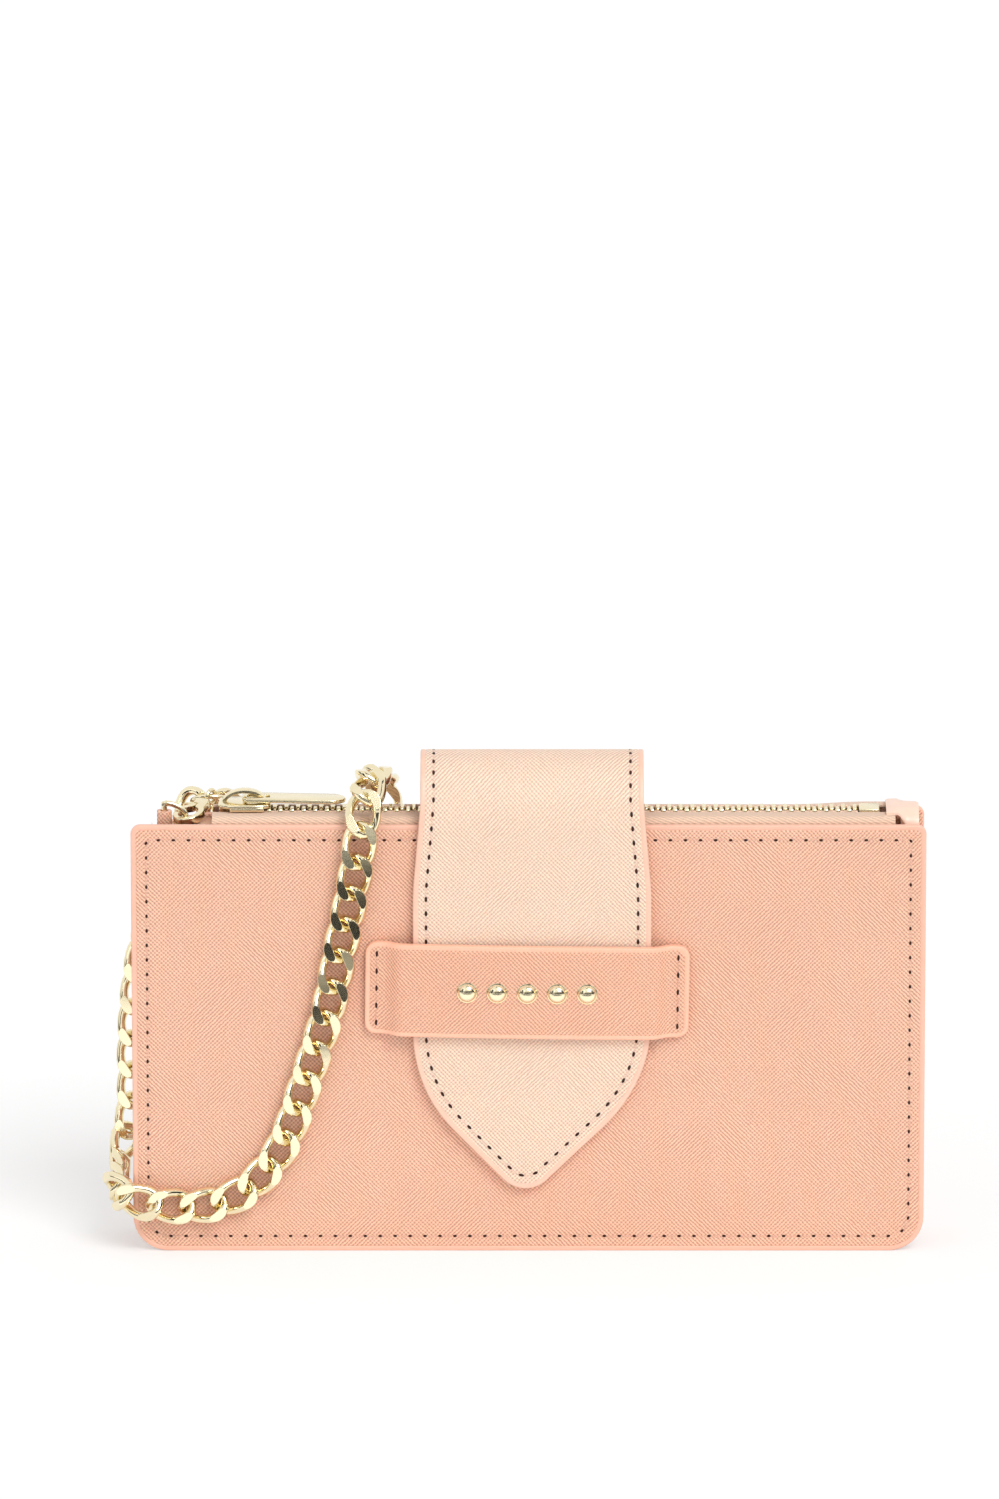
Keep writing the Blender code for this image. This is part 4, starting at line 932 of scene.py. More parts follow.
class WALLET_OT_zip_ends(bpy.types.Operator):
    """The leather tabs that close the two ends of the zip"""

    bl_idname = "wallet.zip_ends"
    bl_label = "Zip ends"

    def execute(self, context):
        sizes, colours = context.scene.wallet_sizes, context.scene.wallet_colours
        leather = saffiano("pink_saffiano_leather", colours.panel, sizes)
        cream = edge_paint("cream_leather_fold", colours.flap)
        for side, made in (("left", leather), ("right", cream)):
            low, high = box_from_middle(f"zip_end_tab_{side}")
            shell = Shell()
            upper, lower = [], []
            for i in range(13):
                x = low.x + (high.x - low.x) * i / 12
                rise, curl = 0.0, 0.5 * MM
                # The right tab, seen from the front, is longer than its CAD solid and its sides curl down.
                if side == "right":
                    x += 2.4 * MM * i / 12
                    rise = 0.1 * MM * math.sin(math.pi * i / 12)
                    curl += 2.6 * MM * smooth_step((i - 4) / 4)
                top, under = [], []
                for k in range(15):
                    y = low.y + (high.y - low.y) * k / 14
                    droop = -curl * abs(2 * k / 14 - 1) ** 3
                    round_off = 0.22 * MM if k in (0, 14) or i in (0, 12) else 0.0
                    top.append((x, y, high.z + rise + droop - round_off))
                    under.append((x, y, low.z + rise + droop + round_off))
                upper.append(shell.row(top, [(p[0], p[1]) for p in top]))
                lower.append(shell.row(under, [(p[0], p[1]) for p in under]))
            shell.slab(upper, lower)
            tab = shell.build(f"zip_end_{side}_leather", [made], 50)
            settle(tab, "case", "pink_leather", f"zip_end_tab_{side}")
        return {"FINISHED"}


class WALLET_OT_slider(bpy.types.Operator):
    """The cast slider body with its bridge"""

    bl_idname = "wallet.slider"
    bl_label = "Slider"

    def execute(self, context):
        colours = context.scene.wallet_colours
        gold = plated_gold("polished_slider_plate", colours.gold, 0.14)
        left, right = SLIDER_X - SLIDER_HALF, SLIDER_X + SLIDER_HALF
        # The plates' front half, from the left end to the right one. The back half mirrors it.
        plan = [(left, -2.6 * MM), (left + 0.5 * MM, -3.5 * MM), (left + 2.5 * MM, -4.5 * MM),
                (right - 3.4 * MM, -4.5 * MM), (right - 1.2 * MM, -4.2 * MM), (right - 0.2 * MM, -3.2 * MM),
                (right, -2.2 * MM)]
        plan += [(x, -y) for x, y in reversed(plan)]
        room = TOOTH_HEIGHT / 2 + GAP
        plates = [
            solid_prism(name, plan, facing_z, low, low + SLIDER_PLATE, [gold], 0.3 * MM)
            for name, low in (("slider_top", ZIP_Z + room), ("slider_base", ZIP_Z - room - SLIDER_PLATE))]
        for sign in (-1, 1):
            for flip in (-1, 1):
                flange = rounded_rectangle(left + 2.6 * MM, right - 1.6 * MM, sign * FLANGE_Y - FLANGE_HALF,
                                           sign * FLANGE_Y + FLANGE_HALF, 0.4 * MM, 0.4 * MM, 3)
                near, far = TAPE_THICKNESS / 2 + GAP, room + FLANGE_SINK
                low, high = sorted((ZIP_Z + flip * near, ZIP_Z + flip * far))
                plates.append(solid_prism("slider_flange", flange, facing_z, low, high, [gold], 0.15 * MM))
        post = rounded_rectangle(left + 0.1 * MM, left + SLIDER_POST, -0.9 * MM, 0.9 * MM,
                                 0.5 * MM, 0.5 * MM, 4)
        plates.append(solid_prism("slider_post", post, facing_z, ZIP_Z - room - FLANGE_SINK,
                                  ZIP_Z + room + FLANGE_SINK, [gold], 0.1 * MM))
        shell = Shell()
        rows = []
        reach, rise = BRIDGE_REACH - BRIDGE_BAR, BRIDGE_RISE + BRIDGE_SINK - BRIDGE_BAR
        for i in range(33):
            a = math.pi * (1 - i / 32)
            # The bridge is a flat bar, widest at its crown, with rounded edges.
            wide = (1.05 + 0.25 * math.sin(a)) * MM
            along = Vector((math.cos(a), 0, math.sin(a)))
            middle = Vector((SLIDER_X + reach * math.cos(a), 0, SLIDER_TOP - BRIDGE_SINK + rise * math.sin(a)))
            ring = [squarish(angle, 0.6) for angle in full_turn(12, 0.5)]
            rows.append(shell.row([middle + Vector((0, b * wide, 0)) + along * (c * BRIDGE_BAR)
                                   for b, c in ring]))
        shell.solid(rows)
        bridge = shell.build("slider_bridge", [gold], 40)
        settle(joined("zip_slider_metal", plates + [bridge]), "slider", "gold_plate", "zip_slider")
        return {"FINISHED"}


class WALLET_OT_puller(bpy.types.Operator):
    """The flat leaf of the zip puller, with the window of its eye"""

    bl_idname = "wallet.puller"
    bl_label = "Puller"

    def execute(self, context):
        gold = plated_gold("polished_puller_plate", context.scene.wallet_colours.gold, 0.16)
        low, high = box_from_middle("zip_puller")
        corner, bend = 1.2 * MM, 3.4 * MM
        half = (high.y - low.y) / 2
        outline = arc((low.x + corner, -half + corner), corner, math.pi, 1.5 * math.pi, 6)
        outline += arc((high.x - bend, 0), (bend, half), -math.pi / 2, math.pi / 2, 24)
        outline += arc((low.x + corner, half - corner), corner, math.pi / 2, math.pi, 6)
        window = rounded_rectangle(low.x + 1.1 * MM, SLIDER_X + BRIDGE_REACH + GAP, -1.5 * MM, 1.5 * MM,
                                   0.6 * MM, 0.6 * MM, 5)

        def lying(a, b, level):
            """The leaf's tip lies a little lower than its eye."""
            return Vector((a, b, level - (a - low.x) * 0.02))

        made = solid_prism("zip_puller_metal", outline, lying, low.z - 0.1 * MM, high.z, [gold], 0.3 * MM,
                           holes=(window,))
        settle(made, "puller", "gold_plate", "zip_puller")
        return {"FINISHED"}


# ---------------------------------------------------------------- flap
FLAP_X = 0.8 * MM
FLAP_WIDTH = 54 * MM
FLAP_TOP_WIDTH = 50.5 * MM
FLAP_INNER = BACK + GAP
FLAP_TOTAL = 2.2 * MM
FLAP_LEATHER_IN = 1.0 * MM
SPRING_Z = HEIGHT - 1.0 * MM
ARCH_RISE = HEIGHT + 15 * MM - FLAP_TOTAL - SPRING_Z
HINGE_Z = HEIGHT - 2.5 * MM
TIP_Z = 15.4 * MM
TONGUE_CURVE = 38.2 * MM
TONGUE_TOP = 56 * MM
ROOT_DEPTH, ROOT_CORNER = 25 * MM, 6 * MM
FLAP_STITCH_PITCH, FLAP_HOLE = 3.3 * MM, (1.35 * MM, 0.72 * MM)
STITCH_SINK = 0.09 * MM


def flap_half_width(z, front):
    """Half the flap's width at a height: narrower over the top, and drawn in to a round tip on the front."""
    if not front:
        return FLAP_TOP_WIDTH / 2
    taper = min(max((z - (HEIGHT - 15 * MM)) / (20 * MM), 0.0), 1.0)
    full = (FLAP_WIDTH + (FLAP_TOP_WIDTH - FLAP_WIDTH) * taper) / 2
    run = TIP_Z + TONGUE_CURVE - z
    if run <= 0:
        return full
    side_radius, tip_radius = 34 * MM, 7.0 * MM
    turn = side_radius * math.sin(math.pi / 4)
    if run <= turn:
        return full - side_radius + math.sqrt(side_radius ** 2 - run ** 2)
    to_tip = z - TIP_Z
    if to_tip < tip_radius * (1 - math.cos(math.pi / 4)):
        return math.sqrt(max(tip_radius ** 2 - (tip_radius - to_tip) ** 2, 0.0))
    return max(full - side_radius + turn - (run - turn), 0.0)


def flap_lean(z):
    """The tongue hangs slightly to the left below the keeper band."""
    return -1.5 * MM * smooth_step((58 * MM - z) / (42 * MM))


def flap_line():
    """The flap's inner face from its hinge to its tip, as (y, z, normal y, normal z, is on the front)."""
    line = [(FLAP_INNER, HINGE_Z + GAP, 1.0, 0.0, False)]
    for i in range(49):
        a = math.pi * i / 48
        normal = Vector((ARCH_RISE * math.cos(a), FLAP_INNER * math.sin(a))).normalized()
        line.append((FLAP_INNER * math.cos(a), SPRING_Z + ARCH_RISE * math.sin(a), *normal, i > 24))
    levels = [SPRING_Z - (SPRING_Z - TONGUE_TOP) * i / 14 for i in range(1, 15)]
    levels += [TONGUE_TOP - (TONGUE_TOP - TIP_Z - 4 * MM) * i / 46 for i in range(1, 47)]
    levels += [TIP_Z + 4 * MM * (1 - i / 24) ** 2 for i in range(1, 24)] + [TIP_Z]
    return line + [(-FLAP_INNER, z, -1.0, 0.0, True) for z in levels]


def outline_distance(rows, foot):
    """How far a flat grid's points lie from its two sides, and from its first row where that is an edge."""
    lines = [np.array([row[i] for row in rows]) for i in (0, -1)]
    lines += [np.array(rows[0])] if foot else []
    return [np.min([distances(row, line) for line in lines], axis=0) for row in rows]


# A stitch inset that is further in than any point of a sheet lies.
NO_CHANNEL = 50.0


RIM_ROUND = 0.42 * MM


def edge_profile(distance, rim, stitch):
    """How far the leather's face lies below its level at a distance from the edge: rim, crease and channel."""
    below = 0.0
    if distance < RIM_ROUND:
        below = RIM_ROUND * 0.9 * (1 - math.sqrt(max(1 - (1 - distance / RIM_ROUND) ** 2, 0.0)))
    below += 0.13 * MM * math.exp(-((distance - rim) / (0.14 * MM)) ** 2)
    below += 0.12 * MM * math.exp(-((distance - stitch) / (0.42 * MM)) ** 2)
    return below


# Millimetres in from the flap's sides: close together where the rim, the crease and the channel lie.
FLAP_INSETS = [0.0, 0.08, 0.2, 0.38, 0.6, 0.85, 1.0, 1.1, 1.2, 1.35, 1.7, 2.2, 2.55, 2.8, 3.0, 3.2, 3.45, 3.9,
               5.0, 8.0, 12.0, 16.0, 20.0]


def flap_grid(line, low, high, profile, foot):
    """Upper and lower grids of flap points between two heights above the inner face, and their flat places."""
    flat, upper, lower = [], [], []
    for (_, z, _, _, front), run in zip(line, running_lengths([place[:2] for place in line])):
        half = max(flap_half_width(z, front), 0.05 * MM)
        if run < foot:
            half -= foot - math.sqrt(foot ** 2 - (foot - run) ** 2)
        if front and z < TONGUE_TOP and half < 24 * MM:
            near = [min(inset * MM, half * 0.55) for inset in FLAP_INSETS[:18]]
            rest = [near[-1] + (half * 0.97 - near[-1]) * (k + 1) / 5 for k in range(5)]
            insets = near + rest
        else:
            insets = [min(inset * MM, half * 0.98) for inset in FLAP_INSETS]
        xs = [-(half - inset) for inset in insets] + [0.0] + [half - inset for inset in reversed(insets)]
        flat.append([(x, run) for x in xs])
    distance = outline_distance(flat, foot)
    for (y, z, normal_y, normal_z, front), row, gaps in zip(line, flat, distance):
        top, under = [], []
        for (x, _), gap in zip(row, gaps):
            height = high - profile(gap)
            place_x = FLAP_X + x + (flap_lean(z) if front else 0.0)
            top.append((place_x, y + normal_y * height, z + normal_z * height))
            under.append((place_x, y + normal_y * low, z + normal_z * low))
        upper.append(top)
        lower.append(under)
    return flat, upper, lower


def painted(distance, width):
    """A finish for Shell.skin: edge paint, which is the second material, within width of the outline."""
    return lambda k, i: 1 if min(distance[k][i], distance[k + 1][i + 1]) < width else 0


def flap_sheet(name, line, low, high, profile, materials, rim_width, foot=0.0):
    """A sheet of the flap along a line. With a foot, its first row is an edge with corners of that radius."""
    flat, upper, lower = flap_grid(line, low, high, profile, foot)
    distance = outline_distance(flat, foot)
    shell = Shell()
    top = [shell.row(points, places) for points, places in zip(upper, flat)]
    bottom = [shell.row(points, places) for points, places in zip(lower, flat)]
    shell.slab(top, bottom, painted(distance, rim_width * 0.98), edge=1)
    return shell.build(name, materials, 55)


class WALLET_OT_flap(bpy.types.Operator):
    """The flap: a strap of leather and lining from its seam on the back, over the zip, to its pointed tongue"""

    bl_idname = "wallet.flap"
    bl_label = "Flap"

    def execute(self, context):
        sizes, colours = context.scene.wallet_sizes, context.scene.wallet_colours
        leather = saffiano("pale_saffiano_leather", colours.flap, sizes, 0.66)
        paint = edge_paint("pale_edge_paint", colours.flap_rim)
        inside = saffiano("flap_lining_leather", colours.panel, sizes, 0.64)
        inside_paint = edge_paint("flap_lining_edge", colours.flap_rim)
        rim, inset = sizes.rim, sizes.flap_stitch_inset
        line = flap_line()

        def profile(distance):
            return edge_profile(distance, rim, inset)

        def plain(distance):
            return 0.18 * MM * max(1 - distance / (0.3 * MM), 0.0) ** 2

        upper = line[2:]
        strap = flap_sheet("flap_strap_leather", upper, FLAP_LEATHER_IN, FLAP_TOTAL, profile,
                           [leather, paint], rim)
        settle(strap, "flap", "pale_leather", "flap_strap", "flap_tongue")
        lining = flap_sheet("flap_strap_inside", upper, 0.0, FLAP_LEATHER_IN - 0.08 * MM, plain,
                            [inside, inside_paint], 0.3 * MM)
        settle(lining, "flap", "flap_lining", "flap_strap_lining", "flap_tongue_lining")

        # The root leaf is sewn to the back, and the short stretch above its seam joins it to the strap.
        heights = [HINGE_Z - ROOT_DEPTH + inset * MM for inset in FLAP_INSETS]
        heights += [HINGE_Z - 4 * MM + i * 0.4 * MM for i in range(11)]
        heights += [HINGE_Z + GAP * (k + 1) / 3 for k in range(3)]
        hinge_line = [(FLAP_INNER, z, 1.0, 0.0, False) for z in heights] + line[1:3]
        hinge = flap_sheet("flap_hinge_leather", hinge_line, 0.0, FLAP_TOTAL, profile, [leather, paint], rim,
                           foot=ROOT_CORNER)
        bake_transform(hinge)
        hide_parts("flap_root_leaf")
        return {"FINISHED"}


def flap_stitch_paths(inset):
    """Two stitch lines beside the flap's edges that meet round its tip, on its outer face."""
    line = flap_line()[2:]
    runs = running_lengths([place[:2] for place in line])
    flat = [(flap_half_width(z, front), run) for (_, z, _, _, front), run in zip(line, runs)]
    left, right = [], []
    for n, (y, z, normal_y, normal_z, front) in enumerate(line):
        before, after = flat[max(n - 1, 0)], flat[min(n + 1, len(flat) - 1)]
        slope = Vector((after[0] - before[0], after[1] - before[1]))
        if slope.length < 1e-9:
            continue
        slope.normalize()
        half = flat[n][0] - inset * abs(slope[1])
        drop = inset * abs(slope[0])
        if half < 0.2 * MM or (z < 20 * MM and front and half < 1.2 * MM):
            continue
        z_in = z + drop if front and z < TONGUE_TOP else z
        height = FLAP_TOTAL - STITCH_SINK
        place = (y + normal_y * height, z_in + normal_z * height)
        lean = flap_lean(z_in) if front else 0.0
        out = (0, normal_y, normal_z)
        left.append((Vector((FLAP_X - half + lean, *place)), out))
        right.append((Vector((FLAP_X + half + lean, *place)), out))
    return left + right[::-1]


class WALLET_OT_flap_stitches(bpy.types.Operator):
    """The stitching along both sides of the flap and round its tip"""

    bl_idname = "wallet.flap_stitches"
    bl_label = "Flap stitches"

    def execute(self, context):
        sizes, colours = context.scene.wallet_sizes, context.scene.wallet_colours
        thread = sewing_thread("pale_sewing_thread", colours.flap_thread)
        path = flap_stitch_paths(sizes.flap_stitch_inset)
        sew("flap_stitch", [path], FLAP_STITCH_PITCH, thread, FLAP_HOLE, "flap", "pale_leather", 11)
        half = FLAP_TOP_WIDTH / 2 - sizes.flap_stitch_inset
        y = FLAP_INNER + FLAP_TOTAL - STITCH_SINK
        low, high = HINGE_Z - ROOT_DEPTH + sizes.flap_stitch_inset, HINGE_Z - 5 * MM
        corner = 3 * MM
        points = [(-half, high)]
        points += arc((-half + corner, low + corner), corner, math.pi, 1.5 * math.pi, 6)
        points += arc((half - corner, low + corner), corner, 1.5 * math.pi, 2 * math.pi, 6)
        points += [(half, high)]
        root = [(Vector((FLAP_X + x, y, z)), (0, 1, 0)) for x, z in points]
        sew("flap_root_stitch", [root], FLAP_STITCH_PITCH, thread, FLAP_HOLE, "case", "pale_leather", 13)
        return {"FINISHED"}


# ---------------------------------------------------------------- keeper band
BAND_X, BAND_Z = -0.3 * MM, HEIGHT - 38 * MM
BAND_WIDTH, BAND_HEIGHT, BAND_THICKNESS = 73.5 * MM, 21.5 * MM, 1.6 * MM
BAND_CORNER, BAND_RAMP, BAND_CROWN = 2.7 * MM, 4.4 * MM, 0.7 * MM
BAND_TILT = math.radians(0.8)
BAND_TURN = (Matrix.Translation((BAND_X, 0, BAND_Z)) @ Matrix.Rotation(BAND_TILT, 4, "Y")
             @ Matrix.Translation((-BAND_X, 0, -BAND_Z)))
# Millimetres in from the band's outline, and further in from its ends, across the ramp beside the flap.
BAND_INSETS = [0.0, 0.06, 0.16, 0.3, 0.5, 0.75, 0.95, 1.05, 1.15, 1.3, 1.6, 2.0, 2.6]
BAND_END_INSETS = [3.2, 4.0, 5.0, 5.8, 6.6, 7.4, 8.2, 9.0, 9.8, 11.0]
STUD_COUNT, STUD_PITCH = 5, 6.8 * MM


def band_lift(x):
    """How far the band's inner face stands off the panel, where it passes over the flap."""
    clear = FLAP_WIDTH / 2 + abs(FLAP_X - BAND_X) + GAP
    offset = abs(x - BAND_X)
    raised = smooth_step((clear + BAND_RAMP - offset) / BAND_RAMP)
    crown = BAND_CROWN * math.cos(min(offset / clear, 1.0) * math.pi / 2)
    return raised * (FLAP_TOTAL + GAP) + crown


def band_face(x, v):
    """How far out the band's outer face lies, at a place along and across it."""
    bulge = 0.21 * MM * max(math.cos(v / (BAND_HEIGHT / 2) * math.pi / 2), 0.0) ** 0.7
    return BACK + GAP + band_lift(x) + BAND_THICKNESS + bulge


class WALLET_OT_band(bpy.types.Operator):
    """The keeper band across the flap, with creased edges, rounded ends and a row of stitches at each end"""

    bl_idname = "wallet.band"
    bl_label = "Keeper band"

    def execute(self, context):
        sizes, colours = context.scene.wallet_sizes, context.scene.wallet_colours
        leather = saffiano("coral_saffiano_leather", colours.band, sizes, 0.60)
        paint = edge_paint("coral_edge_paint", shade_of(colours.band, 1.06))
        half = BAND_WIDTH / 2
        places = [half - inset * MM for inset in BAND_INSETS + BAND_END_INSETS]
        places += [places[-1] * (1 - k / 16) for k in range(1, 17)]
        places = sorted({-x for x in places} | set(places))
        flat = []
        for offset in places:
            into = max(BAND_CORNER - (half - abs(offset)), 0.0)
            tall = BAND_HEIGHT / 2 - BAND_CORNER + math.sqrt(max(BAND_CORNER ** 2 - into ** 2, 0.0))
            levels = [tall - inset * MM for inset in BAND_INSETS]
            levels += [(tall - BAND_INSETS[-1] * MM) * (1 - k / 7) for k in range(1, 7)]
            across = [-v for v in levels] + [0.0] + levels[::-1]
            flat.append([(offset, v) for v in across])
        outline = [row[0] for row in flat] + [row[-1] for row in reversed(flat)]
        outline = np.array(outline + outline[:1])
        distance = [distances(row, outline) for row in flat]
        feet = [(BAND_X + offset, BACK + GAP + band_lift(BAND_X + offset)) for offset in places]
        shell = Shell()
        top, bottom = [], []
        for row, gaps, (x, near), run in zip(flat, distance, feet, running_lengths(feet)):
            outer, inner = [], []
            for (_, v), gap in zip(row, gaps):
                below = edge_profile(gap, 1.05 * MM, NO_CHANNEL)
                outer.append(BAND_TURN @ Vector((x, -(band_face(x, v) - below), BAND_Z + v)))
                inner.append(BAND_TURN @ Vector((x, -near, BAND_Z + v)))
            top.append(shell.row(outer, [(run, v) for _, v in row]))
            bottom.append(shell.row(inner, [(run, v) for _, v in row]))
        shell.slab(top, bottom, painted(distance, 1.0 * MM), edge=1)
        settle(shell.build("keeper_band_leather", [leather, paint], 50), "case", "coral_leather", "keeper_band")

        thread = sewing_thread("coral_sewing_thread", shade_of(colours.band, 0.86))
        paths = []
        for x in (BAND_X - half + 2.6 * MM, BAND_X + half - 2.6 * MM):
            paths.append([(BAND_TURN @ Vector((x, -band_face(x, v) - 0.01 * MM, BAND_Z + v)), (0, -1, 0))
                          for v in (-8 * MM, -5 * MM, -2 * MM, 2 * MM, 5 * MM, 8 * MM)])
        sew("keeper_band_stitch", paths, 4.0 * MM, thread, (1.5 * MM, 0.62 * MM), "case", "coral_leather", 17)
        return {"FINISHED"}


class WALLET_OT_studs(bpy.types.Operator):
    """Five plain domed studs on the keeper band"""

    bl_idname = "wallet.studs"
    bl_label = "Studs"

    def execute(self, context):
        gold = plated_gold("polished_stud_plate", context.scene.wallet_colours.gold, 0.16)
        # Millimetres from the stud's middle and above its seat: a flat collar, then the dome.
        profile = ((2.15, 0.0), (2.38, 0.04), (2.4, 0.16), (2.3, 0.27), (2.12, 0.3), (2.05, 0.36),
                   (1.92, 0.62), (1.65, 0.95), (1.25, 1.22), (0.8, 1.4), (0.35, 1.48), (0.1, 1.5))
        for index in range(STUD_COUNT):
            x = BAND_X + STUD_PITCH * (index - (STUD_COUNT - 1) / 2)
            seat = band_face(x, 0.0) - 0.05 * MM
            shell = Shell()
            rows = []
            for radius, height in profile:
                circle = [(radius * MM * math.cos(t), radius * MM * math.sin(t)) for t in full_turn(28)]
                rows.append(shell.row([BAND_TURN @ Vector((x + a, -(seat + height * MM), BAND_Z + b))
                                       for a, b in circle]))
            shell.solid(rows)
            made = shell.build(f"keeper_stud_{index + 1}_metal", [gold], 30)
            settle(made, "case", "gold_plate", f"keeper_stud_{index + 1}")
        return {"FINISHED"}


# ---------------------------------------------------------------- ring, tab and clasp
RING_X = -WIDTH / 2 + 7.4 * MM
RING_Z = HEIGHT - 0.6 * MM
RING_WIRE = 0.65 * MM
RING_BOW = 4.9 * MM
TAB_WALL, TAB_HEIGHT = 0.8 * MM, 3.2 * MM
CLASP_LENGTH = 10.6 * MM
CLASP_OUTER = (3.9 * MM, 3.5 * MM)
CLASP_INNER = (2.6 * MM, 2.1 * MM)
CLASP_HALF = 0.95 * MM
CLASP_STEM = 0.5 * MM
EYE_RADIUS, EYE_WIRE = 1.5 * MM, 0.5 * MM
EYE_U = CLASP_LENGTH + 0.5 * MM + EYE_RADIUS + EYE_WIRE
JUMP_RADIUS, JUMP_WIRE, JUMP_TILT = 4.4 * MM, 0.6 * MM, math.radians(30)
JUMP_BACK = Vector((0, math.cos(JUMP_TILT), -math.sin(JUMP_TILT)))


def clasp_frame():
    """The clasp's own axes: u along it from hook to swivel, v across it, w through it."""
    along = Vector((2, 3, 1)).normalized()
    through = (Vector((0, 0, 1)) - along * along.z).normalized()
    across = through.cross(along)
    inside = CLASP_OUTER[0] - CLASP_INNER[0] + RING_WIRE + 0.8 * MM
    start = Vector((RING_X + RING_BOW, 0, RING_Z)) - along * inside
    return Matrix.Translation(start) @ Matrix((along, across, through)).transposed().to_4x4()


CLASP = clasp_frame()


def in_clasp(a, b, level):
    """A place in the clasp's own axes, as a place in the wallet."""
    return CLASP @ Vector((a, b, level))


def jump_ring_middle():
    """The jump ring hangs from the swivel's eye and leans back."""
    return in_clasp(EYE_U, 0, 0) + JUMP_BACK * JUMP_RADIUS


class WALLET_OT_ring_and_tab(bpy.types.Operator):
    """The D-ring at the zip's end and the leather loop that holds it"""

    bl_idname = "wallet.ring_and_tab"
    bl_label = "D-ring and tab"

    def execute(self, context):
        sizes, colours = context.scene.wallet_sizes, context.scene.wallet_colours
        gold = plated_gold("polished_ring_wire", colours.gold, 0.12)
        half = 3.3 * MM
        flat = [(RING_X, RING_Z + half - 2 * half * i / 8) for i in range(9)]
        bow = arc((RING_X, RING_Z), (RING_BOW, half), -math.pi / 2, math.pi / 2, 36)[1:-1]
        shell = Shell()
        tube(shell, [Vector((x, 0, z)) for x, z in flat + bow], RING_WIRE, 14, flat=(0, 1, 0))
        settle(shell.build("d_ring_wire", [gold], 60), "ring", "gold_plate", "d_ring")

        leather = saffiano("pink_saffiano_leather", colours.panel, sizes)
        paint = edge_paint("pink_edge_paint", colours.rim)
        hole = RING_WIRE + GAP
        outer = hole + TAB_WALL
        tail = -WIDTH / 2 + 5.5 * MM + GAP
        tail_end = tail + 0.3 * MM

        def strip(radius, gap, y):
            """Seen from above: one side of the two-ply tail, round the ring's bar, and back along the other."""
            bend = arc((RING_X, 0), radius, math.pi + gap, 3 * math.pi - gap, 28)
            return [(tail, -y), (tail_end, -y)] + bend + [(tail_end, y), (tail, y)]

        shell = Shell()

        def strip_row(line, z):
            return shell.row([(x, y, z) for x, y in line], [(k * 0.35 * MM, z) for k in range(len(line))])

        loop, inner = strip(outer, math.asin(TAB_WALL / outer), TAB_WALL), strip(hole, 0.1, 0.0)
        low, high = RING_Z - TAB_HEIGHT / 2, RING_Z + TAB_HEIGHT / 2
        rows = []
        for z, shrink in ((low, 0.12), (low + 0.15 * MM, 0.0), (high - 0.15 * MM, 0.0), (high, 0.12)):
            rows.append(strip_row([(a[0] + (b[0] - a[0]) * shrink, a[1] + (b[1] - a[1]) * shrink)
                                   for a, b in zip(loop, inner)], z))
        low_in, high_in = strip_row(inner, low), strip_row(inner, high)
        shell.skin(rows, 0)
        shell.skin([low_in, rows[0]], 1)
        shell.skin([rows[-1], high_in], 1)
        shell.skin([high_in, low_in], 0)
        for i in (0, -1):
            shell.cap([row[i] for row in (*rows, high_in, low_in)])
        settle(shell.build("d_ring_tab_leather", [leather, paint], 50), "case", "pink_leather", "d_ring_tab")
        return {"FINISHED"}


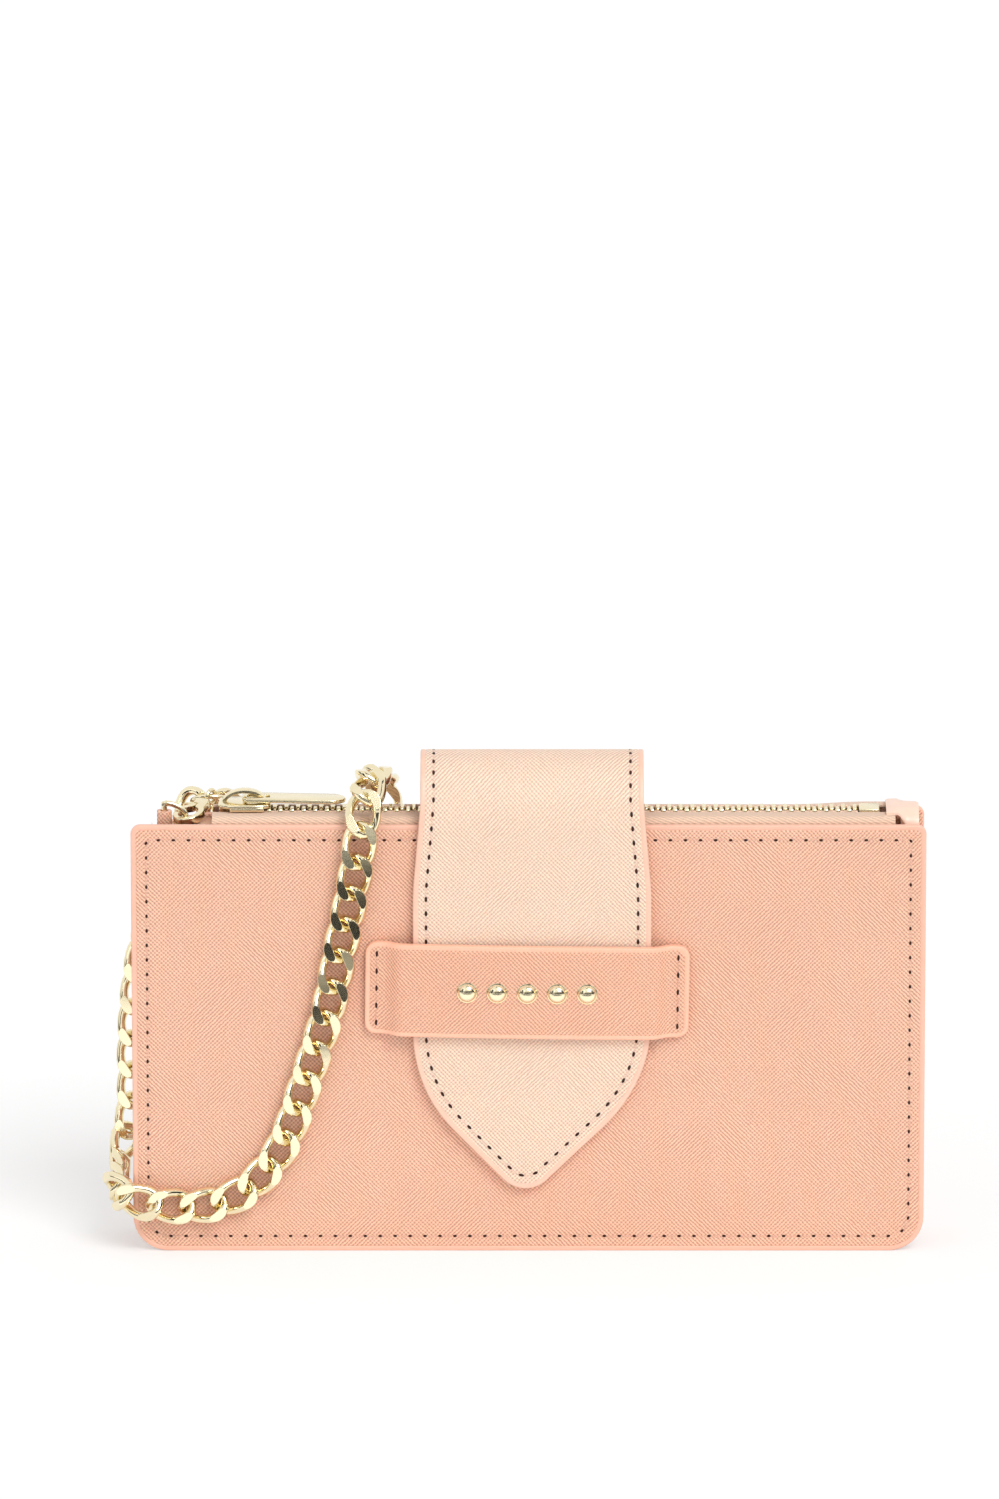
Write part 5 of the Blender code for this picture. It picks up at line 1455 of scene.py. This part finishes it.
class WALLET_OT_clasp(bpy.types.Operator):
    """The lobster clasp with its lever, its swivel eye and the jump ring"""

    bl_idname = "wallet.clasp"
    bl_label = "Clasp"

    def execute(self, context):
        gold = plated_gold("polished_clasp_plate", context.scene.wallet_colours.gold, 0.13)
        centre = (CLASP_OUTER[0], 0.0)
        tail, shoulder = 1.8 * MM, CLASP_LENGTH - 1.4 * MM
        gate_end = math.radians(104)
        outline = arc(centre, CLASP_OUTER, gate_end, 2 * math.pi - math.radians(40), 36)
        outline += [(shoulder, -tail), (CLASP_LENGTH, -tail * 0.7), (CLASP_LENGTH, tail * 0.7),
                    (shoulder, tail), (shoulder - 0.8 * MM, tail * 0.9), (shoulder - 1.0 * MM, 0.1 * MM),
                    (centre[0] + CLASP_INNER[0] + 0.5 * MM, 0.1 * MM)]
        outline += arc(centre, CLASP_INNER, 2 * math.pi - math.radians(8), gate_end, 36)
        body = solid_prism("clasp_body_metal", outline, in_clasp, -CLASP_HALF, CLASP_HALF, [gold], 0.32 * MM,
                           segments=4)
        settle(body, "case", "gold_plate", "clasp_body")

        lever_wide = 1.15 * MM
        start, end = math.radians(18), gate_end - math.radians(13)
        gate = arc(centre, CLASP_OUTER, start, end, 20)
        gate_in = arc(centre, (CLASP_OUTER[0] - lever_wide, CLASP_OUTER[1] - lever_wide), end, start, 20)
        pivot = (7.5 * MM, 1.3 * MM)
        heel = [(pivot[0] + a * MM, pivot[1] + b * MM)
                for a, b in ((-0.3, -0.9), (0.5, -0.9), (0.6, 0.6), (0.5, 2.0), (-0.3, 2.1))]
        lever_half = CLASP_HALF * 0.8
        lever = solid_prism("clasp_lever_metal", gate_in + heel + gate, in_clasp, -lever_half, lever_half,
                            [gold], 0.22 * MM)
        settle(lever, "lever", "gold_plate", "clasp_lever")

        shell = Shell()
        across = (CLASP.to_3x3() @ Vector((0, 1, 0))).normalized()
        eye = [in_clasp(EYE_U + EYE_RADIUS * math.cos(a), 0, EYE_RADIUS * math.sin(a)) for a in full_turn(28)]
        tube(shell, eye, EYE_WIRE, 10, flat=across)
        stem = [in_clasp(shoulder + (EYE_U - EYE_RADIUS - shoulder) * k / 4, 0, 0) for k in range(5)]
        tube(shell, stem, CLASP_STEM, 10, closed=False, flat=across)
        settle(shell.build("clasp_swivel_wire", [gold], 50), "swivel", "gold_plate", "clasp_swivel")

        shell = Shell()
        middle, right = jump_ring_middle(), Vector((1, 0, 0))
        ring = [middle + JUMP_RADIUS * (math.cos(a) * right + math.sin(a) * JUMP_BACK) for a in full_turn(48)]
        tube(shell, ring, JUMP_WIRE, 12, flat=right.cross(JUMP_BACK))
        settle(shell.build("jump_ring_wire", [gold], 60), "case", "gold_plate", "jump_ring")
        return {"FINISHED"}


# ---------------------------------------------------------------- chain
LINK_HALF_LENGTH, LINK_HALF_WIDTH = 4.85 * MM, 3.15 * MM
LINK_WIRE, LINK_TWIST, LINK_FLAT = 2.3 * MM, 1.35 * MM, 1.8 * MM
LINK_ROUNDING = 0.20 * MM
CHAIN_LIE, CHAIN_RISE, CHAIN_PLAY = 2.2 * MM, 8.7 * MM, 1.1 * MM
# The chain's ends hang in the jump ring as in the CAD, whose wire is thinner.
CAD_LINK_WIRE = 1.75 * MM
CHAIN_SPAN = WIDTH / 2 + BAND_X - BAND_WIDTH / 2

# Where the chain passes: shares of CHAIN_SPAN in from the left edge, of BACK + CHAIN_LIE and of HEIGHT, and
# the way its flat side faces, as in the CAD.
CHAIN_CLIMB = (
    (0.215, 1.082, 0.875, TO_BACK), (0.123, 1.016, 0.775, TO_BACK), (0.047, 1, 0.66, TO_BACK),
    (0.008, 1, 0.52, TO_BACK), (-0.004, 1, 0.38, TO_BACK), (-0.006, 1.041, 0.275, TO_BACK),
    (-0.055, 0.984, 0.189, (-0.7, 0.7, 0)), (-0.068, 0.328, 0.148, TO_LEFT),
    (-0.068, -0.328, 0.142, TO_LEFT), (-0.047, -1, 0.137, (-0.7, -0.7, 0)),
    (0.087, -1.057, 0.119, TO_FRONT), (0.236, -1.008, 0.112, TO_FRONT), (0.368, -1, 0.12, TO_FRONT),
    (0.497, -1, 0.156, TO_FRONT), (0.595, -1, 0.214, TO_FRONT), (0.669, -1, 0.284, TO_FRONT),
    (0.759, -1, 0.428, TO_FRONT), (0.84, -1, 0.57, TO_FRONT), (0.891, -1, 0.706, TO_FRONT),
    (0.948, -1, 0.854, TO_FRONT),
)
# Over the zip the third number is a share of CHAIN_RISE above the top edge.
CHAIN_CROSSING = (
    (0.975, -1.025, -0.632, TO_FRONT), (0.993, -0.951, 0.276, (0, -0.9, 0.4)),
    (1.012, -0.566, 0.816, (0, -0.45, 0.9)), (1.031, -0.016, 1, UP),
    (1.058, 0.533, 0.828, (0, 0.45, 0.9)), (1.076, 0.934, 0.276, (0, 0.9, 0.4)),
    (1.08, 1.025, -0.632, TO_BACK),
)
CHAIN_RETURN = (
    (1.042, 1, 0.865, TO_BACK), (0.935, 1, 0.805, TO_BACK), (0.784, 1, 0.786, TO_BACK),
    (0.633, 1.008, 0.812, TO_BACK), (0.499, 1.025, 0.884, TO_BACK),
)


def spline(points, share):
    """A Catmull-Rom curve through the points; share runs from 0 to the number of spans."""
    span = min(int(share), len(points) - 2)
    t = share - span
    before = points[max(span - 1, 0)]
    first, second = points[span], points[span + 1]
    after = points[min(span + 2, len(points) - 1)]
    return 0.5 * (
        2 * first + (second - before) * t
        + (2 * before - 5 * first + 4 * second - after) * t ** 2
        + (3 * first - before - 3 * second + after) * t ** 3
    )


def chain_path():
    """The chain's route as (point, facing) pairs, from the jump ring round the wallet and back to it."""
    middle = jump_ring_middle()
    hang = LINK_HALF_LENGTH - CAD_LINK_WIRE / 2 - JUMP_WIRE - CHAIN_PLAY
    start = middle + Vector((-JUMP_RADIUS, 0, -hang))
    end = middle + Vector((JUMP_RADIUS, 0, -hang))
    off = BACK + CHAIN_LIE
    levels = [(row, row[2] * HEIGHT) for row in CHAIN_CLIMB]
    levels += [(row, HEIGHT + row[2] * CHAIN_RISE) for row in CHAIN_CROSSING]
    levels += [(row, row[2] * HEIGHT) for row in CHAIN_RETURN]
    route = [(start, TO_BACK)]
    route += [(Vector((-WIDTH / 2 + row[0] * CHAIN_SPAN, row[1] * off, z)), row[3]) for row, z in levels]
    route += [(end, TO_BACK)]
    points = [point for point, _ in route]
    faces = [Vector(face) for _, face in route]
    samples = 12 * (len(points) - 1)
    return [(spline(points, i / 12), spline(faces, i / 12)) for i in range(samples + 1)]


def link_piece(finish, sides):
    """One curb link: an oval of wire, twisted to lace with its neighbours, and ground flat on both faces."""
    shell = Shell()
    rows = []
    for angle in full_turn(32):
        centre = Vector((LINK_HALF_LENGTH * math.cos(angle), LINK_HALF_WIDTH * math.sin(angle),
                         -LINK_TWIST * math.sin(2 * angle)))
        outward = Vector((math.cos(angle) * LINK_HALF_WIDTH, math.sin(angle) * LINK_HALF_LENGTH, 0))
        outward.normalize()
        wide = LINK_WIRE / 2 * (0.88 + 0.12 * abs(math.sin(2 * angle)))
        ring = []
        for turn in full_turn(sides, 0.5):
            point = centre + outward * (wide * math.cos(turn))
            point.z += LINK_WIRE / 2 * math.sin(turn) * 1.12
            ring.append(point - MIDDLE)
        rows.append(shell.row(ring))
    shell.skin(rows, around=True, closed=True)
    made = shell.pattern("link_pattern", finish, 60, 1e-8)
    bm = bmesh.new()
    bm.from_mesh(made.data)
    ground = []
    for sign in (1, -1):
        cut_here = bmesh.ops.bisect_plane(
            bm, geom=bm.verts[:] + bm.edges[:] + bm.faces[:], dist=1e-7, clear_outer=True,
            plane_co=(0, 0, sign * LINK_FLAT), plane_no=(0, 0, sign))
        loops = [item for item in cut_here["geom_cut"] if isinstance(item, bmesh.types.BMEdge)]
        ground += bmesh.ops.edgeloop_fill(bm, edges=loops)["faces"]
    rims = list({edge for face in ground for edge in face.edges})
    bmesh.ops.bevel(bm, geom=rims, offset=LINK_ROUNDING, segments=3, profile=0.6, affect="EDGES",
                    clamp_overlap=True)
    bm.normal_update()
    for face in bm.faces:
        face.smooth = not (abs(face.normal.z) > 0.9999 and len(face.verts) > 6)
    bm.to_mesh(made.data)
    bm.free()
    return made


class WALLET_OT_chain(bpy.types.Operator):
    """The curb chain that wraps the wallet's left side"""

    bl_idname = "wallet.chain"
    bl_label = "Chain"

    def execute(self, context):
        sizes, colours = context.scene.wallet_sizes, context.scene.wallet_colours
        gold = plated_gold("polished_chain_plate", colours.gold, 0.07, 0.03)
        link = link_piece(gold, sizes.link_sides)
        path = chain_path()
        length = sum((b[0] - a[0]).length for a, b in zip(path, path[1:]))
        pitch = length / round(length / sizes.link_pitch) * SNUG
        made = along_path("curb_chain_links", path, link, pitch, gold, unevenness=0.035, seed=23, smooth=None)
        nodes = [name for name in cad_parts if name.startswith("chain_")]
        settle(made, "case", "gold_plate", *nodes)
        return {"FINISHED"}


# ---------------------------------------------------------------- stage
IMAGE_WIDTH, IMAGE_HEIGHT = 999, 1499
# Where the front panel's middle lies in the photograph, from its upper left corner.
PANEL_PIXEL = (528.5, 1039.0)
PIXEL_SIZE = 0.227 * MM
CAMERA_RISE = math.radians(15.0)
CAMERA_DISTANCE = 3.0
SENSOR = 36.0
TABLE_SIZE = 8.0
CARD_AIM = Vector((0, 0, 0.05))


def seen_directly(tree):
    """1 where the camera, a reflection or a clear view sees it and 0 for soft light, and 1 in a reflection."""
    seen = add_node(tree, "ShaderNodeLightPath")
    direct = add_node(tree, "ShaderNodeMath",
                      {0: seen.outputs["Is Camera Ray"], 1: seen.outputs["Is Glossy Ray"]}, operation="MAXIMUM")
    shown = add_node(tree, "ShaderNodeMath", {0: direct.outputs[0], 1: seen.outputs["Is Transmission Ray"]},
                     operation="MAXIMUM")
    return shown.outputs[0], seen.outputs["Is Glossy Ray"]


def stage_sheet(name, width, depth, finish, place):
    """A flat sheet that isn't part of the wallet."""
    mesh = bpy.data.meshes.new(name)
    a, b = width / 2, depth / 2
    mesh.from_pydata([(-a, -b, 0), (a, -b, 0), (a, b, 0), (-a, b, 0)], [], [(0, 1, 2, 3)])
    mesh.materials.append(finish)
    mesh.transform(place)
    made = bpy.data.objects.new(name, mesh)
    bpy.context.scene.collection.objects.link(made)
    return made


class WALLET_OT_stage(bpy.types.Operator):
    """White table, soft studio light and the camera"""

    bl_idname = "wallet.stage"
    bl_label = "Stage"

    def execute(self, context):
        scene = context.scene
        scene.view_settings.view_transform = "Standard"
        self.add_table(scene)
        self.add_light(scene)
        self.add_camera(scene)
        return {"FINISHED"}

    def add_table(self, scene):
        """A matt white table that also glows a little, so that it stays white in the picture."""
        made, tree, shader = new_material("matt_white_table", Roughness=0.95, Specular_IOR_Level=0.2)
        shader.inputs["Base Color"].default_value = scene.wallet_colours.table
        shown, _ = seen_directly(tree)
        share = add_node(tree, "ShaderNodeMath", {0: shown, 1: 0.45}, operation="MULTIPLY")
        white = add_node(tree, "ShaderNodeEmission", {"Color": (1.0, 1.0, 1.0, 1.0), "Strength": 0.98})
        mixed = add_node(tree, "ShaderNodeMixShader",
                         {0: share.outputs[0], 1: shader.outputs[0], 2: white.outputs[0]})
        tree.links.new(mixed.outputs[0], tree.nodes["Material Output"].inputs["Surface"])
        table = stage_sheet("table_top", TABLE_SIZE, TABLE_SIZE, made, Matrix())

    def add_light(self, scene):
        """A bright world, two soft suns and the cards that the metal mirrors."""
        world = bpy.data.worlds.new("studio")
        scene.world = world
        world.use_nodes = True
        tree = world.node_tree
        # The world is white where it shows, and dimmer as a light.
        shown, mirrored = seen_directly(tree)
        strength = add_node(tree, "ShaderNodeMapRange", {"Value": shown, "To Min": 0.66, "To Max": 1.0})
        background = tree.nodes["Background"]
        # Reflections see a dark studio near the horizon in front, between the white table and ceiling.
        way = add_node(tree, "ShaderNodeTexCoord")
        height = add_node(tree, "ShaderNodeSeparateXYZ", {0: way.outputs["Generated"]})
        level = add_node(tree, "ShaderNodeMapRange",
                         {"Value": height.outputs["Z"], "From Min": 0.16, "From Max": 0.42, "To Min": 0.06,
                          "To Max": 1.0}, interpolation_type="SMOOTHSTEP")
        dark = add_node(tree, "ShaderNodeMath", {0: 1.0, 1: level.outputs[0]}, operation="SUBTRACT")
        front = add_node(tree, "ShaderNodeMapRange",
                         {"Value": height.outputs["Y"], "From Min": 0.5, "From Max": 0.0})
        there = add_node(tree, "ShaderNodeMath", {0: dark.outputs[0], 1: front.outputs[0]},
                         operation="MULTIPLY")
        share = add_node(tree, "ShaderNodeMath", {0: there.outputs[0], 1: mirrored}, operation="MULTIPLY")
        colour = add_node(tree, "ShaderNodeMix", {0: share.outputs[0], 6: (1.0, 1.0, 1.0, 1.0),
                                                  7: (0.0, 0.0, 0.0, 1.0)}, data_type="RGBA")
        tree.links.new(colour.outputs[2], background.inputs["Color"])
        tree.links.new(strength.outputs[0], background.inputs["Strength"])
        for name, place, angle, power in (
            ("key_softbox", (0.40, -0.75, 0.85), 30.0, 1.65), ("fill_softbox", (-0.8, -0.75, 0.35), 50.0, 0.28),
        ):
            lamp = bpy.data.lights.new(name, "SUN")
            lamp.energy = power
            lamp.angle = math.radians(angle)
            made = bpy.data.objects.new(name, lamp)
            made.location = place
            made.rotation_euler = Vector(place).to_track_quat("Z", "Y").to_euler()
            scene.collection.objects.link(made)
        # Cards lie on the table and stand round it. Only reflections see them, so that they mark the metal's
        # flat faces as bright, grey or dark.
        black, deep_black = (0.02, 0.02, 0.02, 1.0), (0.015, 0.015, 0.015, 1.0)
        warm_grey = (0.42, 0.42 * 0.97, 0.42 * 0.9, 1.0)
        for name, colour, glow, place, size, flat in (
            ("white_card", black, 1.3, (-0.05, -0.125, 0.002), (0.70, 0.17), True),
            ("black_card_near", deep_black, 0.0, (-0.05, -0.2555, 0.002), (0.70, 0.072), True),
            ("grey_card", warm_grey, 0.0, (-0.05, -0.322, 0.002), (0.70, 0.061), True),
            ("black_card_far", deep_black, 0.0, (-0.05, -0.5065, 0.002), (0.70, 0.308), True),
            ("black_card_left", black, 0.0, (-0.62, -0.45, 0.30), (0.32, 0.5), False),
            ("black_card_right", black, 0.0, (0.72, -0.40, 0.35), (0.30, 0.5), False),
            ("black_card_top", black, 0.0, (0.10, -0.22, 0.85), (0.60, 0.14), False),
        ):
            card, _, _ = new_material(name, Base_Color=colour, Emission_Color=(1.0, 1.0, 1.0, 1.0),
                                      Emission_Strength=glow, Roughness=0.9, Specular_IOR_Level=0.1)
            turn = Matrix() if flat else (Vector(place) - CARD_AIM).to_track_quat("Z", "Y").to_matrix().to_4x4()
            made = stage_sheet(name, *size, card, Matrix.Translation(place) @ turn)
            made.visible_camera = made.visible_diffuse = made.visible_shadow = False
            made.visible_transmission = made.visible_volume_scatter = False

    def add_camera(self, scene):
        """The photograph shows PIXEL_SIZE a pixel at the front panel, seen from above it by CAMERA_RISE."""
        lens = bpy.data.cameras.new("camera")
        lens.sensor_width = SENSOR
        lens.lens = SENSOR * CAMERA_DISTANCE / (IMAGE_HEIGHT * PIXEL_SIZE)
        lens.shift_x = -(PANEL_PIXEL[0] - IMAGE_WIDTH / 2) / IMAGE_HEIGHT
        lens.shift_y = (PANEL_PIXEL[1] - IMAGE_HEIGHT / 2) / IMAGE_HEIGHT
        lens.clip_start = 0.01
        made = bpy.data.objects.new("camera", lens)
        target = MIDDLE + Vector((0, -BACK, HEIGHT / 2))
        made.location = target + Vector((0, -math.cos(CAMERA_RISE), math.sin(CAMERA_RISE))) * CAMERA_DISTANCE
        made.rotation_euler = (math.pi / 2 - CAMERA_RISE, 0, 0)
        scene.collection.objects.link(made)
        scene.camera = made


STEPS = (
    WALLET_OT_stage, WALLET_OT_panels, WALLET_OT_panel_stitches, WALLET_OT_gusset, WALLET_OT_inside,
    WALLET_OT_zip_tapes, WALLET_OT_zip_teeth, WALLET_OT_zip_ends, WALLET_OT_slider, WALLET_OT_puller,
    WALLET_OT_flap, WALLET_OT_flap_stitches, WALLET_OT_band, WALLET_OT_studs, WALLET_OT_ring_and_tab,
    WALLET_OT_clasp, WALLET_OT_chain,
)


class WALLET_PT_panel(bpy.types.Panel):
    """The wallet's sizes, colours and steps, in the sidebar"""

    bl_idname = "WALLET_PT_panel"
    bl_label = "Wristlet wallet"
    bl_space_type = "VIEW_3D"
    bl_region_type = "UI"
    bl_category = "Wallet"

    def draw(self, context):
        layout = self.layout
        for group in (context.scene.wallet_sizes, context.scene.wallet_colours):
            box = layout.box()
            for name in group.__annotations__:
                box.prop(group, name)
        for step in STEPS:
            layout.operator(step.bl_idname)


CLASSES = (WalletSizes, WalletColours, *STEPS, WALLET_PT_panel)


def register():
    for made in CLASSES:
        bpy.utils.register_class(made)
    bpy.types.Scene.wallet_sizes = PointerProperty(type=WalletSizes)
    bpy.types.Scene.wallet_colours = PointerProperty(type=WalletColours)


def unregister():
    del bpy.types.Scene.wallet_colours
    del bpy.types.Scene.wallet_sizes
    for made in reversed(CLASSES):
        bpy.utils.unregister_class(made)


def main():
    register()
    for step in STEPS:
        group, name = step.bl_idname.split(".")
        getattr(getattr(bpy.ops, group), name)()


if __name__ == "__main__":
    main()
